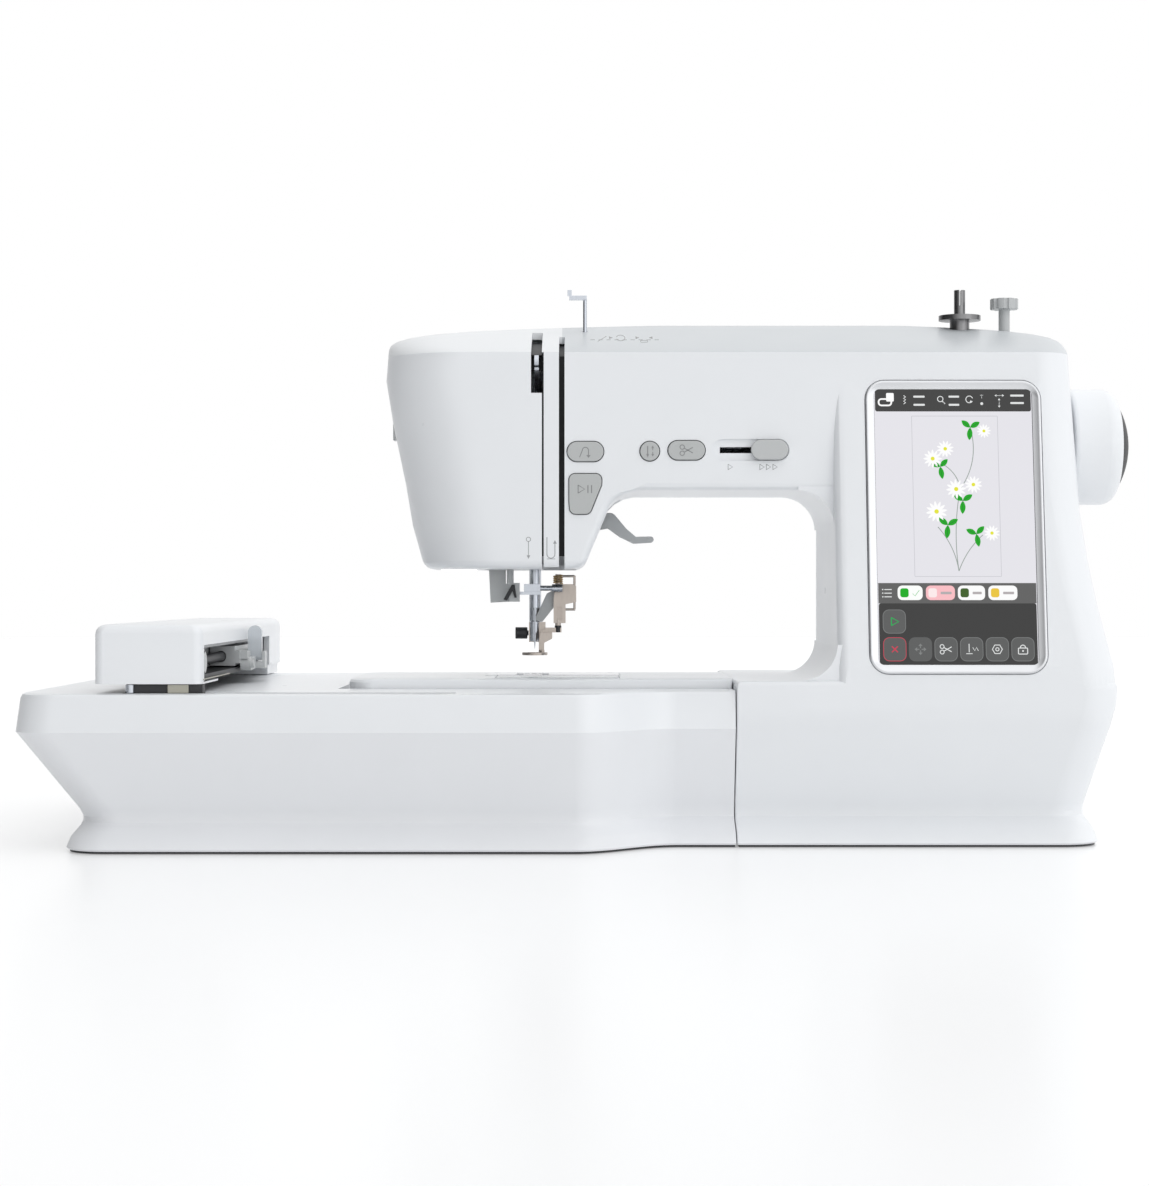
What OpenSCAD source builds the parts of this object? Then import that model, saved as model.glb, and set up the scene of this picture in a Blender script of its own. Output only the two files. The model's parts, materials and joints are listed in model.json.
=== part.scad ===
// Sewing and embroidery machine with its embroidery unit attached.
// Origin at the centre of the footprint on the floor; +X right, +Y back, +Z up.

/* [Machine body] */
// Left end of the lower body, where the embroidery unit meets it
seam_x = 79; // [78.8:0.1:79.4]
// Inner wall of the tower
tower_x = 134; // [132:1:136]
// Front plane of the arm and the head
arm_y = -112; // [-113:0.5:-111]
// Back plane of the arm and the tower
back_y = 0; // [0:0.5:1]
// Back plane of the lower body
base_back_y = 60; // [58:1:62]
// Underside of the arm
arm_z = 194.4; // [193:0.2:195]
// Crease where the top cover meets the front
crease_z = 270.5; // [270:0.1:271]
// Rise of the top cover above the crease
roof_h = 22.1; // [21:0.1:23]
// Wall of the moulded covers
wall = 3; // [2.6:0.1:3.2]

/* [Free arm] */
// Left end of the free arm
free_x = -135; // [-136:0.5:-134]
// Top of the free arm
free_z = 90.3; // [90.1:0.1:90.4]

/* [Needle] */
// Needle position across
needle_x = -32; // [-32.5:0.5:-31.5]
// Needle position front to back
needle_y = -42; // [-42.5:0.5:-41.5]
// Presser bar position front to back
presser_y = -26; // [-26.5:0.5:-25.5]

/* [Drive] */
// Main shaft axis, front to back
shaft_y = -60; // [-60.5:0.5:-59.5]
// Main shaft axis height
shaft_z = 221; // [220.5:0.5:221.5]
// Main shaft radius
shaft_r = 5; // [4.8:0.1:5.2]
// Handwheel diameter
handwheel_d = 66; // [62:1:68]

/* [Display] */
// Middle of the screen across
screen_x = 199.4; // [198:0.2:201]
// Middle of the screen height
screen_z = 174.3; // [173:0.1:176]
// Bezel width
bezel_w = 97.4; // [95:0.2:98]
// Bezel height
bezel_h = 163.6; // [162:0.2:166]

/* [Embroidery unit] */
// Left end of the unit
unit_x = -307; // [-308:0.5:-306]
// Front of the unit
unit_y = -177; // [-178:0.5:-176]
// Back of the unit
unit_back_y = 165; // [163:1:166]
// Top of the unit
unit_z = 84.6; // [84.2:0.1:84.8]
// Height of the crease round the unit
unit_crease_z = 64; // [63:0.5:65]

/* [Embroidery arm] */
// Left side of the arm at its rest position
earm_x = -262.6; // [-263:0.1:-262]
// Width of the arm
earm_w = 57.3; // [56:0.1:58]
// Underside of the arm
earm_z = 91.5; // [91.4:0.1:92]
// Height of the arm
earm_h = 29.5; // [29:0.1:30]

/* [Hidden] */
$fn = 48;

white = [0.9, 0.91, 0.92];
grey = [0.74, 0.75, 0.75];
dark = [0.16, 0.17, 0.18];
steel = [0.7, 0.73, 0.77];
gap = 0.6;

// Height, then the X of the right side of the lower body and tower.
RIGHT_SIDE = [
    [1.5, 277], [2.5, 278], [10, 276], [15, 273.8], [18, 273.5], [22, 274.2], [50, 281.5],
    [75, 288.5], [84.6, 289.6], [95, 288], [112, 284], [134, 279], [156, 275], [183, 271.5],
    [256, 268], [271, 267]
];
// Height, then the Y of the front of the lower body and tower.
FRONT_SIDE = [
    [1.5, -140], [2.5, -141], [8, -135.5], [13, -124], [15.3, -120.8], [18, -120.2],
    [22, -121], [64, -136], [97, -136], [254, -112], [271, -112]
];
// Height, then the X of the left side of the head.
HEAD_LEFT = [[151, -94], [176, -101], [200, -105], [233, -112], [258, -116], [271, -115]];
// Height, then the X of the right side of the head below the arm.
HEAD_RIGHT = [[151, -4], [186, 10.6], [190, 14.5], [193, 20], [194.4, 26], [200, 40]];
// Height, then how far the unit's front and its left end stand in from their furthest.
UNIT_FRONT = [
    [1.5, 1], [2.5, 0], [8, 5.5], [13, 13.5], [15.3, 15.4], [18, 15.9], [22, 15.2],
    [64, 0], [81.8, 2.1], [83.8, 3], [84.6, 4.8]
];
UNIT_LEFT = [
    [1.5, 28], [2.5, 27], [8, 28.5], [13, 32], [15.3, 33], [18, 33], [22, 31],
    [64, 0], [81.8, 2.1], [83.8, 3], [84.6, 4.8]
];
// Rows of feed teeth: X from and to, then Y from and to.
FEED_ROWS = [
    [-41.8, -39.2, -51, -32], [-37.4, -35.6, -37, -31], [-33.4, -31.4, -37, -31],
    [-29.4, -27.6, -37, -31], [-27, -24.6, -51, -32]
];
tilt = atan(24 / 157);
channel_y = -106;
channel_x = -140;
lower_y = -60;
lower_z = 45;
// Left ends of the bushings on the main shaft and on the lower shaft, and their length.
MAIN_BUSH_X = [20, 130, 254];
LOWER_BUSH_X = [-14, 100];
bush_w = 10;
hook_y = -60;
motor_y = -50;
motor_z = 150;
split_y = -50;
spindle_at = [213, -50];
stopper_at = [238.7, -50];
mast_at = [-3, -62];
switch_at = [269.5, 26];
lifter_at = [0, 178];
lever_at = [5, 99.5];
lip_z = 89.5;
rod_y = -150;
rod_z = 60;

function quarter(cx, cy, r, a, n) =
    [for (i = [0:n]) [cx + r * cos(a + 90 * i / n), cy + r * sin(a + 90 * i / n)]];

// Rounded rectangle, counterclockwise; radii are front left, front right, back right, back left.
function outline(x0, x1, y0, y1, r, n = 9) = concat(
    quarter(x1 - r[2], y1 - r[2], r[2], 0, n), quarter(x0 + r[3], y1 - r[3], r[3], 90, n),
    quarter(x0 + r[0], y0 + r[0], r[0], 180, n), quarter(x1 - r[1], y0 + r[1], r[1], 270, n)
);

function lift(ring, z) = [for (p = ring) [p[0], p[1], z]];

// Joins a stack of closed rings of equal length into one solid.
module skin(rings) {
    n = len(rings[0]);
    m = len(rings);
    sides = [
        for (i = [0:m - 2], j = [0:n - 1])
            let (a = i * n + j, b = i * n + (j + 1) % n, c = b + n, d = a + n)
                each [[a, d, c], [a, c, b]]
    ];
    polyhedron(
        points = [for (r = rings) each r],
        faces = concat([[for (j = [0:n - 1]) j]], sides,
                       [[for (j = [n - 1:-1:0]) (m - 1) * n + j]])
    );
}

// Works its children out as one smooth faceted shell.
module moulded() {
    resize([0, 0, 0]) children();
}

module block(x, y, z) {
    translate([x[0], y[0], z[0]]) cube([x[1] - x[0], y[1] - y[0], z[1] - z[0]]);
}

module rod_x(x0, x1, y, z, r) {
    translate([x0, y, z]) rotate([0, 90, 0]) cylinder(r = r, h = x1 - x0);
}

module rod_y(y0, y1, x, z, r) {
    translate([x, y0, z]) rotate([-90, 0, 0]) cylinder(r = r, h = y1 - y0);
}

module rod_z(x, y, z0, z1, r) {
    translate([x, y, z0]) cylinder(r = r, h = z1 - z0);
}

// Flat outline in X and Z, extruded from y0 to y1.
module facing(y0, y1) {
    translate([0, y1, 0]) rotate([90, 0, 0]) linear_extrude(y1 - y0) children();
}

module stadium(w, h) {
    for (s = [-1, 1]) translate([s * (w - h) / 2, 0]) circle(h / 2);
    square([w - h, h], center = true);
}

// ---- outer form of the machine; t sets it in by a wall ----

function edge_in(z, z0, z1, r) =
    let (d = min(z - z0, z1 - z)) d >= r ? 0 : r - sqrt(max(0, r * r - (r - d) * (r - d)));

function base_levels() = [1.5, 2.5, 5, 8, 10.5, 13, 15.3, 18, 22, 36, 50, 64, 75, 84.6, 87, 88.4, 89.4, 90];

function base_ring(z, t) = lift(outline(
    seam_x + t, lookup(z, RIGHT_SIDE) - t, lookup(z, FRONT_SIDE) + t, base_back_y - t,
    [1, 22, 18, 1]), z);

module base_form(t) {
    top = free_z - 0.3;
    skin([for (z = base_levels())
        let (zz = t > 0 ? 1 + (z - 1.5) * (top - t - 1) / 88.5 : z,
             e = t > 0 ? 0 : edge_in(z, -20, top, 3))
            lift(base_ring(zz, t + e), zz)]);
}

function tower_levels(t) = [80, 97, 112, 134, 156, 183, 206, 230, 254, t > 0 ? 271 : crease_z];

module tower_form(t) {
    skin([for (z = tower_levels(t)) lift(outline(
        tower_x + t, lookup(z, RIGHT_SIDE) - t, lookup(z, FRONT_SIDE) + t, back_y - t,
        [6, 22, 22, 12]), z)]);
}

function head_levels(t) = t > 0
    ? [151 + t, 160, 176, 186, 190, 193, 197.5, 200]
    : [151, 151.4, 152.4, 154, 156, 176, 186, 190, 193, arm_z, 200];

module head_form(t) {
    skin([for (z = head_levels(t)) let (e = t + (t > 0 ? 0 : edge_in(z, 151, 900, 5)))
        lift(outline(lookup(z, HEAD_LEFT) + e, lookup(z, HEAD_RIGHT) - e,
                     arm_y + e, back_y - e, [44, 5, 5, 30]), z)]);
}

function arm_levels(t) = t > 0
    ? [arm_z + t, 233, 258, 271]
    : [arm_z, arm_z + 0.6, arm_z + 1.8, arm_z + 4, 215, 233, 245, 258, crease_z];

module arm_form(t) {
    skin([for (z = arm_levels(t)) let (e = t + (t > 0 ? 0 : edge_in(z, arm_z, 900, 4)))
        lift(outline(lookup(z, HEAD_LEFT) + e, 180, arm_y + e, back_y - e,
                     [44, 1, 1, 30]), z)]);
}

// The roof closes in at each height: slowly over the ends, steadily over the front bevel.
function roof_ring(h, t) = let (k = h / roof_h) lift(outline(
    -115 + 150 * pow(k, 5) + t, 267 - 84 * pow(k, 5) - t,
    arm_y + 70 * pow(k, 1.15) + t, back_y - 25 * pow(k, 1.3) - t,
    [44 - 37 * k, 22 - 15 * k, 20 - 13 * k, 30 - 23 * k]), crease_z + h - t);

module roof_form(t) {
    steps = [0, 0.06, 0.14, 0.24, 0.35, 0.46, 0.57, 0.67, 0.76, 0.84, 0.9, 0.95, 0.98, 1];
    skin([for (k = steps) if (t == 0 || k < 0.88) roof_ring(k * roof_h, t)]);
}

// Concave corners of the throat; the arcs run a little into the walls they blend.
module throat_fillets() {
    r = 20;
    sink = 0.04;
    top = free_z - 0.3;
    facing(-133, back_y - 2) difference() {
        translate([tower_x - r + 0.5, top - 2]) square([r + 7, r + 1.5]);
        translate([tower_x - r + sink, top + r - sink]) circle(r);
    }
    facing(arm_y + 0.2, back_y - 2) difference() {
        translate([tower_x - r + 0.5, arm_z - r + 0.5]) square([r + 7, r + 1.5]);
        translate([tower_x - r + sink, arm_z - r + sink]) circle(r);
    }
}

module machine_shell() {
    difference() {
        union() {
            base_form(0);
            tower_form(0);
            head_form(0);
            arm_form(0);
            throat_fillets();
        }
        base_form(wall);
        tower_form(wall);
        head_form(wall);
        arm_form(wall);
        block([seam_x - 5, seam_x + 6], [-102, 2], [28, 87]);
        head_mouth();
        translate([240, shaft_y, shaft_z]) rotate([0, 90, 0]) cylinder(r = 11.3, h = 60);
    }
}

module head_mouth() {
    block([-61, -8], [-62, -12], [140, 157]);
}

module in_tilt() {
    translate([screen_x, lookup(screen_z, FRONT_SIDE), screen_z]) rotate([-tilt, 0, 0]) children();
}

// Plate standing in the leaning plane of the tower front, y0 to y1 behind it.
module leaning(w, h, r, y0, y1) {
    in_tilt() facing(y0, y1) hull() for (x = [-1, 1], z = [-1, 1])
        translate([x * (w / 2 - r), z * (h / 2 - r)]) circle(r, $fn = 32);
}

module shield(grow) {
    r = 3.2;
    offset(r + grow) polygon([[-11.9 + r, 203.3 - r], [5.9 - r, 203.3 - r], [5.9 - r, 198],
        [-1.2 - r / 2, 181.2 + r], [-8.4, 181.2 + r], [-11.9 + r, 188]]);
}

module button_holes() {
    facing(-120, -100) {
        translate([-3, 215.6]) stadium(21, 11.9);
        shield(0.5);
        translate([32.5, 215.8]) circle(5.8);
        translate([52.8, 216.3]) stadium(21.3, 11.5);
    }
    facing(-120, arm_y + 1.6) translate([88.2, 216.5]) stadium(42.6, 12);
    facing(-120, -100) translate([88.2, 216.5]) square([34, 3.4], center = true);
}

// ---- covers ----

module front_cover() {
    color(white) moulded() difference() {
        intersection() {
            machine_shell();
            block([-14.5, 320], [-200, split_y], [0, crease_z]);
        }
        leaning(bezel_w, bezel_h, 11, -8, 12);
        button_holes();
    }
}

module rear_cover() {
    color(white) moulded() difference() {
        intersection() {
            machine_shell();
            block([-27, 320], [split_y, 100], [0, crease_z]);
        }
        block([-8, 24], [-37, -19], [158, 192]);
        block([268, 300], [-22, 42], [28, 62]);
        for (p = screw_places()) rod_y(-30, 70, p[0], p[2], 2.2);
    }
}

module face_cover() {
    color(white) moulded() difference() {
        intersection() {
            machine_shell();
            block([-130, -27], [-200, 20], [0, crease_z]);
        }
        block([-33, -20], [-130, -80], [248, 300]);
        block([-85.1, -65.9], [-60.1, -29.9], [140, 156]);
        block([-120, -104], [-44.2, -33.8], [225.8, 236.2]);
    }
}

module thread_guide_strip() {
    color(white) moulded() intersection() {
        machine_shell();
        block([-26, -17.6], [-200, -96], [152, crease_z]);
    }
}

module top_cover() {
    color(white) moulded() difference() {
        roof_form(0);
        roof_form(wall);
        block([-33, -27], [-130, -66], [260, 300]);
        block([-17.6, -14.5], [-130, -78], [260, 300]);
        rod_z(spindle_at[0], spindle_at[1], 260, 320, 7);
        rod_z(stopper_at[0], stopper_at[1], 260, 320, 3.4);
        rod_z(mast_at[0], mast_at[1], 260, 320, 1.6);
    }
}

module thread_channel() {
    color(dark) difference() {
        translate([-36, 0, 0]) rotate([90, 0, 90]) linear_extrude(22.4) polygon([
            [-98, 158], [-108.4, 158], [-108.4, 265], [-97.6, 271], [-79, 277], [-66, 280],
            [-66, 268], [-90, 262], [-98, 258]]);
        block([-33.2, -26.8], [-120, -90], [236, 270]);
        block([-27, -26], [-120, -101], [150, 270]);
        block([-17.6, -14.5], [-120, -101], [150, 270]);
    }
}

module free_arm_cover() {
    top = free_z;
    color(white) moulded() difference() {
        skin([for (z = [25, 26.2, 30, 84, 88, 89.4, top]) let (e = edge_in(z, 25, top, 3))
            lift(outline(free_x + e, seam_x - gap, -105 + e, 5 - e, [14, 1, 1, 14]), z)]);
        skin([for (z = [28, 60, top - 2.8])
            lift(outline(free_x + wall, seam_x + 4, -102, 2, [11, 1, 1, 11]), z)]);
        block([-60.4, 17.4], [-56.4, -11.6], [80, 95]);
        block([-53.4, 16.4], [-100.4, -56], [88, 95]);
        rod_z(needle_x, hook_y, 80, 95, 18.6);
    }
}

module base_plate() {
    color(grey) difference() {
        block([84, 266], [-114, 52], [2.5, 5]);
        for (x = [110:20:250]) block([x, x + 4], [-70, -40], [0, 6]);
    }
}

module rubber_feet() {
    color(dark) for (p = [[98, -100], [250, -100], [250, 38], [98, 38]])
        rod_z(p[0], p[1], 0, 2.5, 9);
}

module cover_screws() {
    color(steel) for (p = screw_places()) {
        rod_y(p[1], p[1] + 1.6, p[0], p[2], 3.6);
        rod_y(p[1] - 7, p[1], p[0], p[2], 1.8);
    }
}

function screw_places() = [
    [150, back_y, 120], [250, back_y, 120], [150, back_y, 250], [250, back_y, 250],
    [0, back_y, 250], [-10, back_y, 180], [100, base_back_y, 60], [250, base_back_y, 60]
];

// ---- display and electrics ----

module display_bezel() {
    color(steel) difference() {
        leaning(bezel_w - 0.6, bezel_h - 0.6, 10.7, -0.8, 7);
        leaning(bezel_w - 6, bezel_h - 6, 8, -4, 8);
    }
}

module display_glass() {
    color(dark) leaning(bezel_w - 6.2, bezel_h - 6.2, 7.9, 0.2, 1.6);
}

module display_panel() {
    color(grey) leaning(bezel_w - 8, bezel_h - 8, 7, 1.6, 5.5);
}

module circuit_board() {
    color("seagreen") block([165, 240], [-98, -96.4], [112, 236]);
    color(dark) block([185, 205], [-96.4, -93], [160, 180]);
    color(dark) block([215, 227], [-96.4, -92], [190, 202]);
    color(dark) for (z = [120:14:148]) block([170, 182], [-96.4, -90], [z, z + 8]);
}

module main_motor() {
    color(steel) difference() {
        union() {
            rod_x(184, 236, motor_y, motor_z, 24);
            rod_x(236, 238, motor_y, motor_z, 9);
        }
        rod_x(190, 240, motor_y, motor_z, 3.05);
    }
}

module motor_pulley() {
    color(steel) rod_x(192, 252, motor_y, motor_z, 3);
    color(steel) rod_x(240, 252, motor_y, motor_z, 8);
}

// Belt round two pulleys on axes along X; each pulley is [y, z, radius].
module belt(a, b, x0, x1, t) {
    color(dark) translate([x0, 0, 0]) rotate([90, 0, 90]) linear_extrude(x1 - x0) difference() {
        hull() for (p = [a, b]) translate([p[0], p[1]]) circle(p[2] + t, $fn = 40);
        hull() for (p = [a, b]) translate([p[0], p[1]]) circle(p[2], $fn = 40);
    }
}

module drive_belts() {
    belt([shaft_y, shaft_z, 20.5], [motor_y, motor_z, 8.5], 242, 250, 1.5);
    belt([shaft_y, shaft_z, 15.5], [lower_y, lower_z, 15.5], 151, 157, 1.5);
}

module power_inlet() {
    color(dark) difference() {
        union() {
            block([270, 272.4], [-21, 41], [29, 61]);
            block([257, 270], [-16, 8], [36, 54]);
            for (z = [[30, 35.2], [54.8, 60]]) block([267.4, 270], [23.4, 28.6], z);
        }
        block([260, 280], [-12, 4], [40, 50]);
        rod_z(switch_at[0], switch_at[1], 33, 57, 1.55);
        block([262, 280], [17.4, 34.6], [35.4, 54.6]);
    }
}

module power_switch() {
    color(dark) {
        translate([0, 0, 36]) linear_extrude(18)
            polygon([[266, 20], [272.8, 18.4], [272.4, 26], [275, 33.4], [266, 32]]);
        rod_z(switch_at[0], switch_at[1], 34, 56, 1.5);
    }
}

module lamp_lens() {
    color("lightyellow") block([-85, -66], [-60, -30], [150.6, 154]);
}

module thread_cutter() {
    color(grey) block([-114, -106], [-44, -34], [226, 236]);
}

// ---- chassis and drive ----

module shaft_lug(x, y, z) {
    block([x, x + bush_w], [y - 13, -20], [z - 11, z + 11]);
}

module chassis() {
    color(steel) difference() {
        union() {
            block([145, 255], [-22, -8], [20, 262]);
            block([-45, 145], [-22, -8], [205, 262]);
            block([-125, 255], [-22, -8], [30, 42]);
            block([150, 170], [-22, -8], [5, 30]);
            block([235, 255], [-22, -8], [5, 30]);
            block([-42, -22], [-22, -12], [163, 252]);
            block([-42, -22], [-50, -20], [242, 252]);
            block([-50, -22], [-58, -20], [163, 173]);
            block([-7, 2.4], [-22, -12], [175, 206]);
            rod_y(-34, -20, lifter_at[0], lifter_at[1], 1.95);
            block([-46, -41], [-86, -20], [230, 252]);
            rod_x(-42, -28, -80, 238, 2.45);
            for (x = MAIN_BUSH_X) shaft_lug(x, shaft_y, shaft_z);
            for (x = LOWER_BUSH_X) shaft_lug(x, lower_y, lower_z);
            block([-46, -18], [-74, -20], [50.5, 53]);
            block([-46, -36], [-22, -12], [40, 53]);
        }
        for (x = MAIN_BUSH_X) rod_x(x - 1, x + bush_w + 1, shaft_y, shaft_z, 8);
        for (x = LOWER_BUSH_X) rod_x(x - 1, x + bush_w + 1, lower_y, lower_z, 7);
        rod_z(needle_x, needle_y, 150, 260, 3.05);
        rod_z(needle_x, presser_y, 150, 260, 3.55);
        block([-40, -24], [-34, -17], [173, 242]);
        rod_z(needle_x, hook_y, 45, 60, 3.05);
        rod_z(-46, -52.6, 150, 180, 2.05);
    }
}

module shaft_bushings() {
    color([0.8, 0.62, 0.3]) {
        for (x = MAIN_BUSH_X) difference() {
            rod_x(x, x + bush_w, shaft_y, shaft_z, 8);
            rod_x(x - 1, x + bush_w + 1, shaft_y, shaft_z, shaft_r + 0.05);
        }
        for (x = LOWER_BUSH_X) difference() {
            rod_x(x, x + bush_w, lower_y, lower_z, 7);
            rod_x(x - 1, x + bush_w + 1, lower_y, lower_z, 4.05);
        }
    }
}

module main_shaft() {
    color(steel) {
        rod_x(-16, 295.2, shaft_y, shaft_z, shaft_r);
        rod_x(-24, -16, shaft_y, shaft_z, 13);
        rod_x(151, 157, shaft_y, shaft_z, 15);
        rod_x(242, 250, shaft_y, shaft_z, 20);
    }
}

module lower_shaft() {
    color(steel) {
        rod_x(-26, 166, lower_y, lower_z, 4);
        rod_x(151, 157, lower_y, lower_z, 15);
    }
}

module handwheel() {
    r = handwheel_d / 2;
    color(white) translate([271.2, shaft_y, shaft_z]) rotate([0, 90, 0]) difference() {
        rotate_extrude() polygon(concat(
            [[0, 0], [r - 3, 0], [r - 1, 1], [r, 3]],
            [for (a = [0:9:90]) [r - 9 + 9 * cos(a), 19.8 + 9 * sin(a)]],
            [[0, 28.8]]
        ));
        translate([0, 0, -1]) cylinder(r = shaft_r, h = 24 + 1);
        translate([0, 0, 26.8]) cylinder(r = r - 8, h = 5);
    }
}

module handwheel_cap() {
    r = handwheel_d / 2 - 8.2;
    rise = 6.8;
    ball = (r * r + rise * rise) / (2 * rise);
    color(dark) translate([298, shaft_y, shaft_z]) rotate([0, 90, 0]) rotate_extrude() polygon(concat(
        [[0, 0], [r, 0]],
        [for (k = [0:12]) let (x = r * (1 - k / 12)) [x, 2.2 + sqrt(ball * ball - x * x) - ball + rise]]
    ));
}

module rotary_hook() {
    color(steel) difference() {
        union() {
            rod_z(needle_x, hook_y, 55, 77, 17.2);
            rod_z(needle_x, hook_y, 50, 55, 3);
        }
        rod_z(needle_x, hook_y, 58, 80, 15);
    }
}

module bobbin_case() {
    color(dark) difference() {
        union() {
            rod_z(needle_x, hook_y, 59, 82, 14.2);
            rod_z(needle_x, hook_y, 79, 82, 17.5);
        }
        rod_z(needle_x, hook_y, 61, 90, 11.6);
        rod_z(needle_x, needle_y, 50, 90, 1.6);
    }
}

module bobbin() {
    color("lightcyan") difference() {
        union() {
            rod_z(needle_x, hook_y, 61.5, 63, 10.6);
            rod_z(needle_x, hook_y, 71.5, 73, 10.6);
            rod_z(needle_x, hook_y, 63, 71.5, 4.4);
        }
        rod_z(needle_x, hook_y, 50, 90, 3);
    }
}

// ---- needle and presser ----

module needle_bar() {
    color(steel) difference() {
        rod_z(needle_x, needle_y, 140, 262, 3);
        rod_z(needle_x, needle_y, 130, 146, 1.05);
    }
}

module needle_clamp() {
    color(steel) difference() {
        union() {
            block([-38.2, -28.8], [-46.4, -37.6], [138.4, 142.8]);
            block([-41, -28.8], [-46, -41], [136.6, 138.4]);
            rod_z(needle_x, needle_y, 129, 137, 2.5);
            rod_x(-29, -22, needle_y, 140.4, 1.5);
            rod_x(-22, -16, needle_y, 140.4, 2.3);
        }
        rod_z(needle_x, needle_y, 140, 150, 3);
        rod_z(needle_x, needle_y, 120, 145, 1.05);
    }
}

module needle() {
    color(steel) {
        rod_z(needle_x, needle_y, 128, 146, 1);
        rod_z(needle_x, needle_y, 109, 128, 0.5);
        translate([needle_x, needle_y, 105]) cylinder(r1 = 0.1, r2 = 0.5, h = 4);
    }
}

module take_up_lever() {
    color(steel) translate([-31.2, 0, 0]) rotate([90, 0, 90]) linear_extrude(2.4) difference() {
        union() {
            hull() {
                translate([-80, 238]) circle(5);
                translate([-101, 263]) circle(3);
            }
            translate([-105, 266]) circle(3.4);
            hull() {
                translate([-101, 263]) circle(2);
                translate([-105, 266]) circle(2);
            }
        }
        translate([-105, 266]) circle(1.5);
        translate([-80, 238]) circle(2.5);
    }
}

module presser_bar() {
    color(steel) {
        rod_z(needle_x, presser_y, 112, 258, 3.5);
        rod_z(needle_x, presser_y, 184, 188, 6.4);
    }
}

// Open coil round the presser bar, between its collar and the upper lug.
module presser_spring() {
    turns = 9;
    steps = 10;
    z0 = 189;
    z1 = 241;
    function centre(a) = [5 * cos(a), 5 * sin(a), z0 + (z1 - z0) * a / (360 * turns)];
    color(steel) translate([needle_x, presser_y, 0]) moulded() skin([
        for (i = [0:turns * steps]) let (a = 360 * i / steps, c = centre(a))
            [for (k = [0:5]) let (b = -60 * k)
                c + 0.6 * cos(b) * [cos(a), sin(a), 0] + 0.6 * sin(b) * [0, 0, 1]]
    ]);
}

module foot_screw() {
    color(dark) {
        rod_x(-43.6, -36.6, presser_y, 114.2, 3.4);
        rod_x(-36.6, -35.9, presser_y, 114.2, 1.5);
    }
}

module embroidery_foot() {
    color([0.66, 0.62, 0.58]) difference() {
        union() {
            block([-35.6, -26], [-31, -21], [109, 120.6]);
            facing(-34, -31) polygon([[-21.2, 120], [-14.2, 120], [-14.2, 131], [-8, 132.4],
                [-8, 141.6], [-10, 142.8], [-18, 142.8], [-20.4, 140], [-21.2, 134]]);
            facing(-31, -28.6) polygon([[-32, 122], [-28, 121], [-20, 131], [-20, 140], [-25, 137]]);
            block([-26.4, -16.6], [-34, -27], [114.6, 117.4]);
            rod_z(-18.6, -32.5, 115, 122, 1.7);
            facing(-37.6, -34) polygon([[-29.8, 103], [-26.6, 103], [-26.6, 108.6], [-22, 111],
                [-22, 114.6], [-28.8, 114.6], [-29.8, 108.6]]);
            block([-29.8, -26.4], [-42, -34], [102, 104.4]);
            block([-28.8, -22], [-34.4, -31], [111, 116]);
            rod_z(needle_x, needle_y, 101.6, 103.2, 7.4);
            rod_x(-16, -9, -32.5, 147.4, 0.7);
            rod_z(-9, -32.5, 128, 147.8, 0.7);
            rod_x(-15, -8.6, -32.5, 128, 0.7);
            rod_z(-18.6, -32.5, 142, 148.6, 1.6);
        }
        rod_z(needle_x, needle_y, 90, 106, 4);
        rod_z(needle_x, presser_y, 100, 150, 3.55);
        block([-19.4, -16.6], [-40, -32], [122, 129.6]);
        rod_x(-23, -8, needle_y, 140.4, 3.3);
    }
}

module needle_threader() {
    color(grey) {
        facing(-50, -47) polygon([[-58.3, 150.8], [-48.6, 150.8], [-48.6, 143], [-46.6, 143],
            [-46.6, 132.6], [-57.4, 132]]);
        block([-46.6, -40.6], [-54.6, -47], [132.6, 143.4]);
        rod_z(-46, -52.6, 143, 200, 2);
    }
    color(dark) facing(-48.4, -46.6) polygon([[-51, 134], [-48.4, 139.8], [-47.2, 139.8],
        [-44.8, 135], [-45.8, 134.6], [-47.8, 137.2], [-49.4, 133.6]]);
}

module foot_lifter() {
    stations = [[0, 178, 4.6], [11.5, 180, 4.4], [19, 173, 3.1], [26, 168.4, 2], [35.4, 168.8, 1.8]];
    color(grey) facing(-33, -23) difference() {
        for (i = [0:3]) hull() for (s = [stations[i], stations[i + 1]])
            translate([s[0], s[1]]) circle(s[2], $fn = 32);
        translate(lifter_at) circle(2);
    }
}

module feed_dog() {
    color(steel) {
        for (b = FEED_ROWS) {
            block([b[0], b[1]], [b[2], b[3]], [84, 89.6]);
            for (y = [b[2] + 0.6:2.2:b[3] - 1]) block([b[0], b[1]], [y, y + 0.9], [89.6, 90]);
        }
        block([-41.8, -24.6], [-35, -32], [81, 84.4]);
    }
}

module feed_bar() {
    color(steel) block([-44, -22], [-35.5, -32.5], [64, 80.6]);
}

module needle_plate() {
    color(steel) difference() {
        block([-60, 17], [-56, -12], [88.4, 90.6]);
        for (b = FEED_ROWS) block([b[0] - 0.7, b[1] + 0.7], [b[2] - 2.4, b[3] + 2.4], [80, 95]);
        hull() for (s = [-3, 3]) rod_z(needle_x + s, needle_y, 80, 95, 1.1);
        for (x = [-55, 12]) rod_z(x, -18, 80, 95, 1.6);
    }
}

module bobbin_cover() {
    color("gainsboro") difference() {
        block([-53, 16], [-100, -56.6], [88.3, 90.5]);
        translate([needle_x, -94, 90]) cylinder(r = 4, h = 4);
    }
}

// ---- controls ----

module key(x, z) {
    color(grey) facing(arm_y - 1.2, arm_y + 7) translate([x, z]) children();
}

module reverse_button() {
    key(-3, 215.6) stadium(20, 10.9);
}

module start_button() {
    key(0, 0) shield(0);
}

module needle_button() {
    key(32.5, 215.8) circle(5.3);
}

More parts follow.
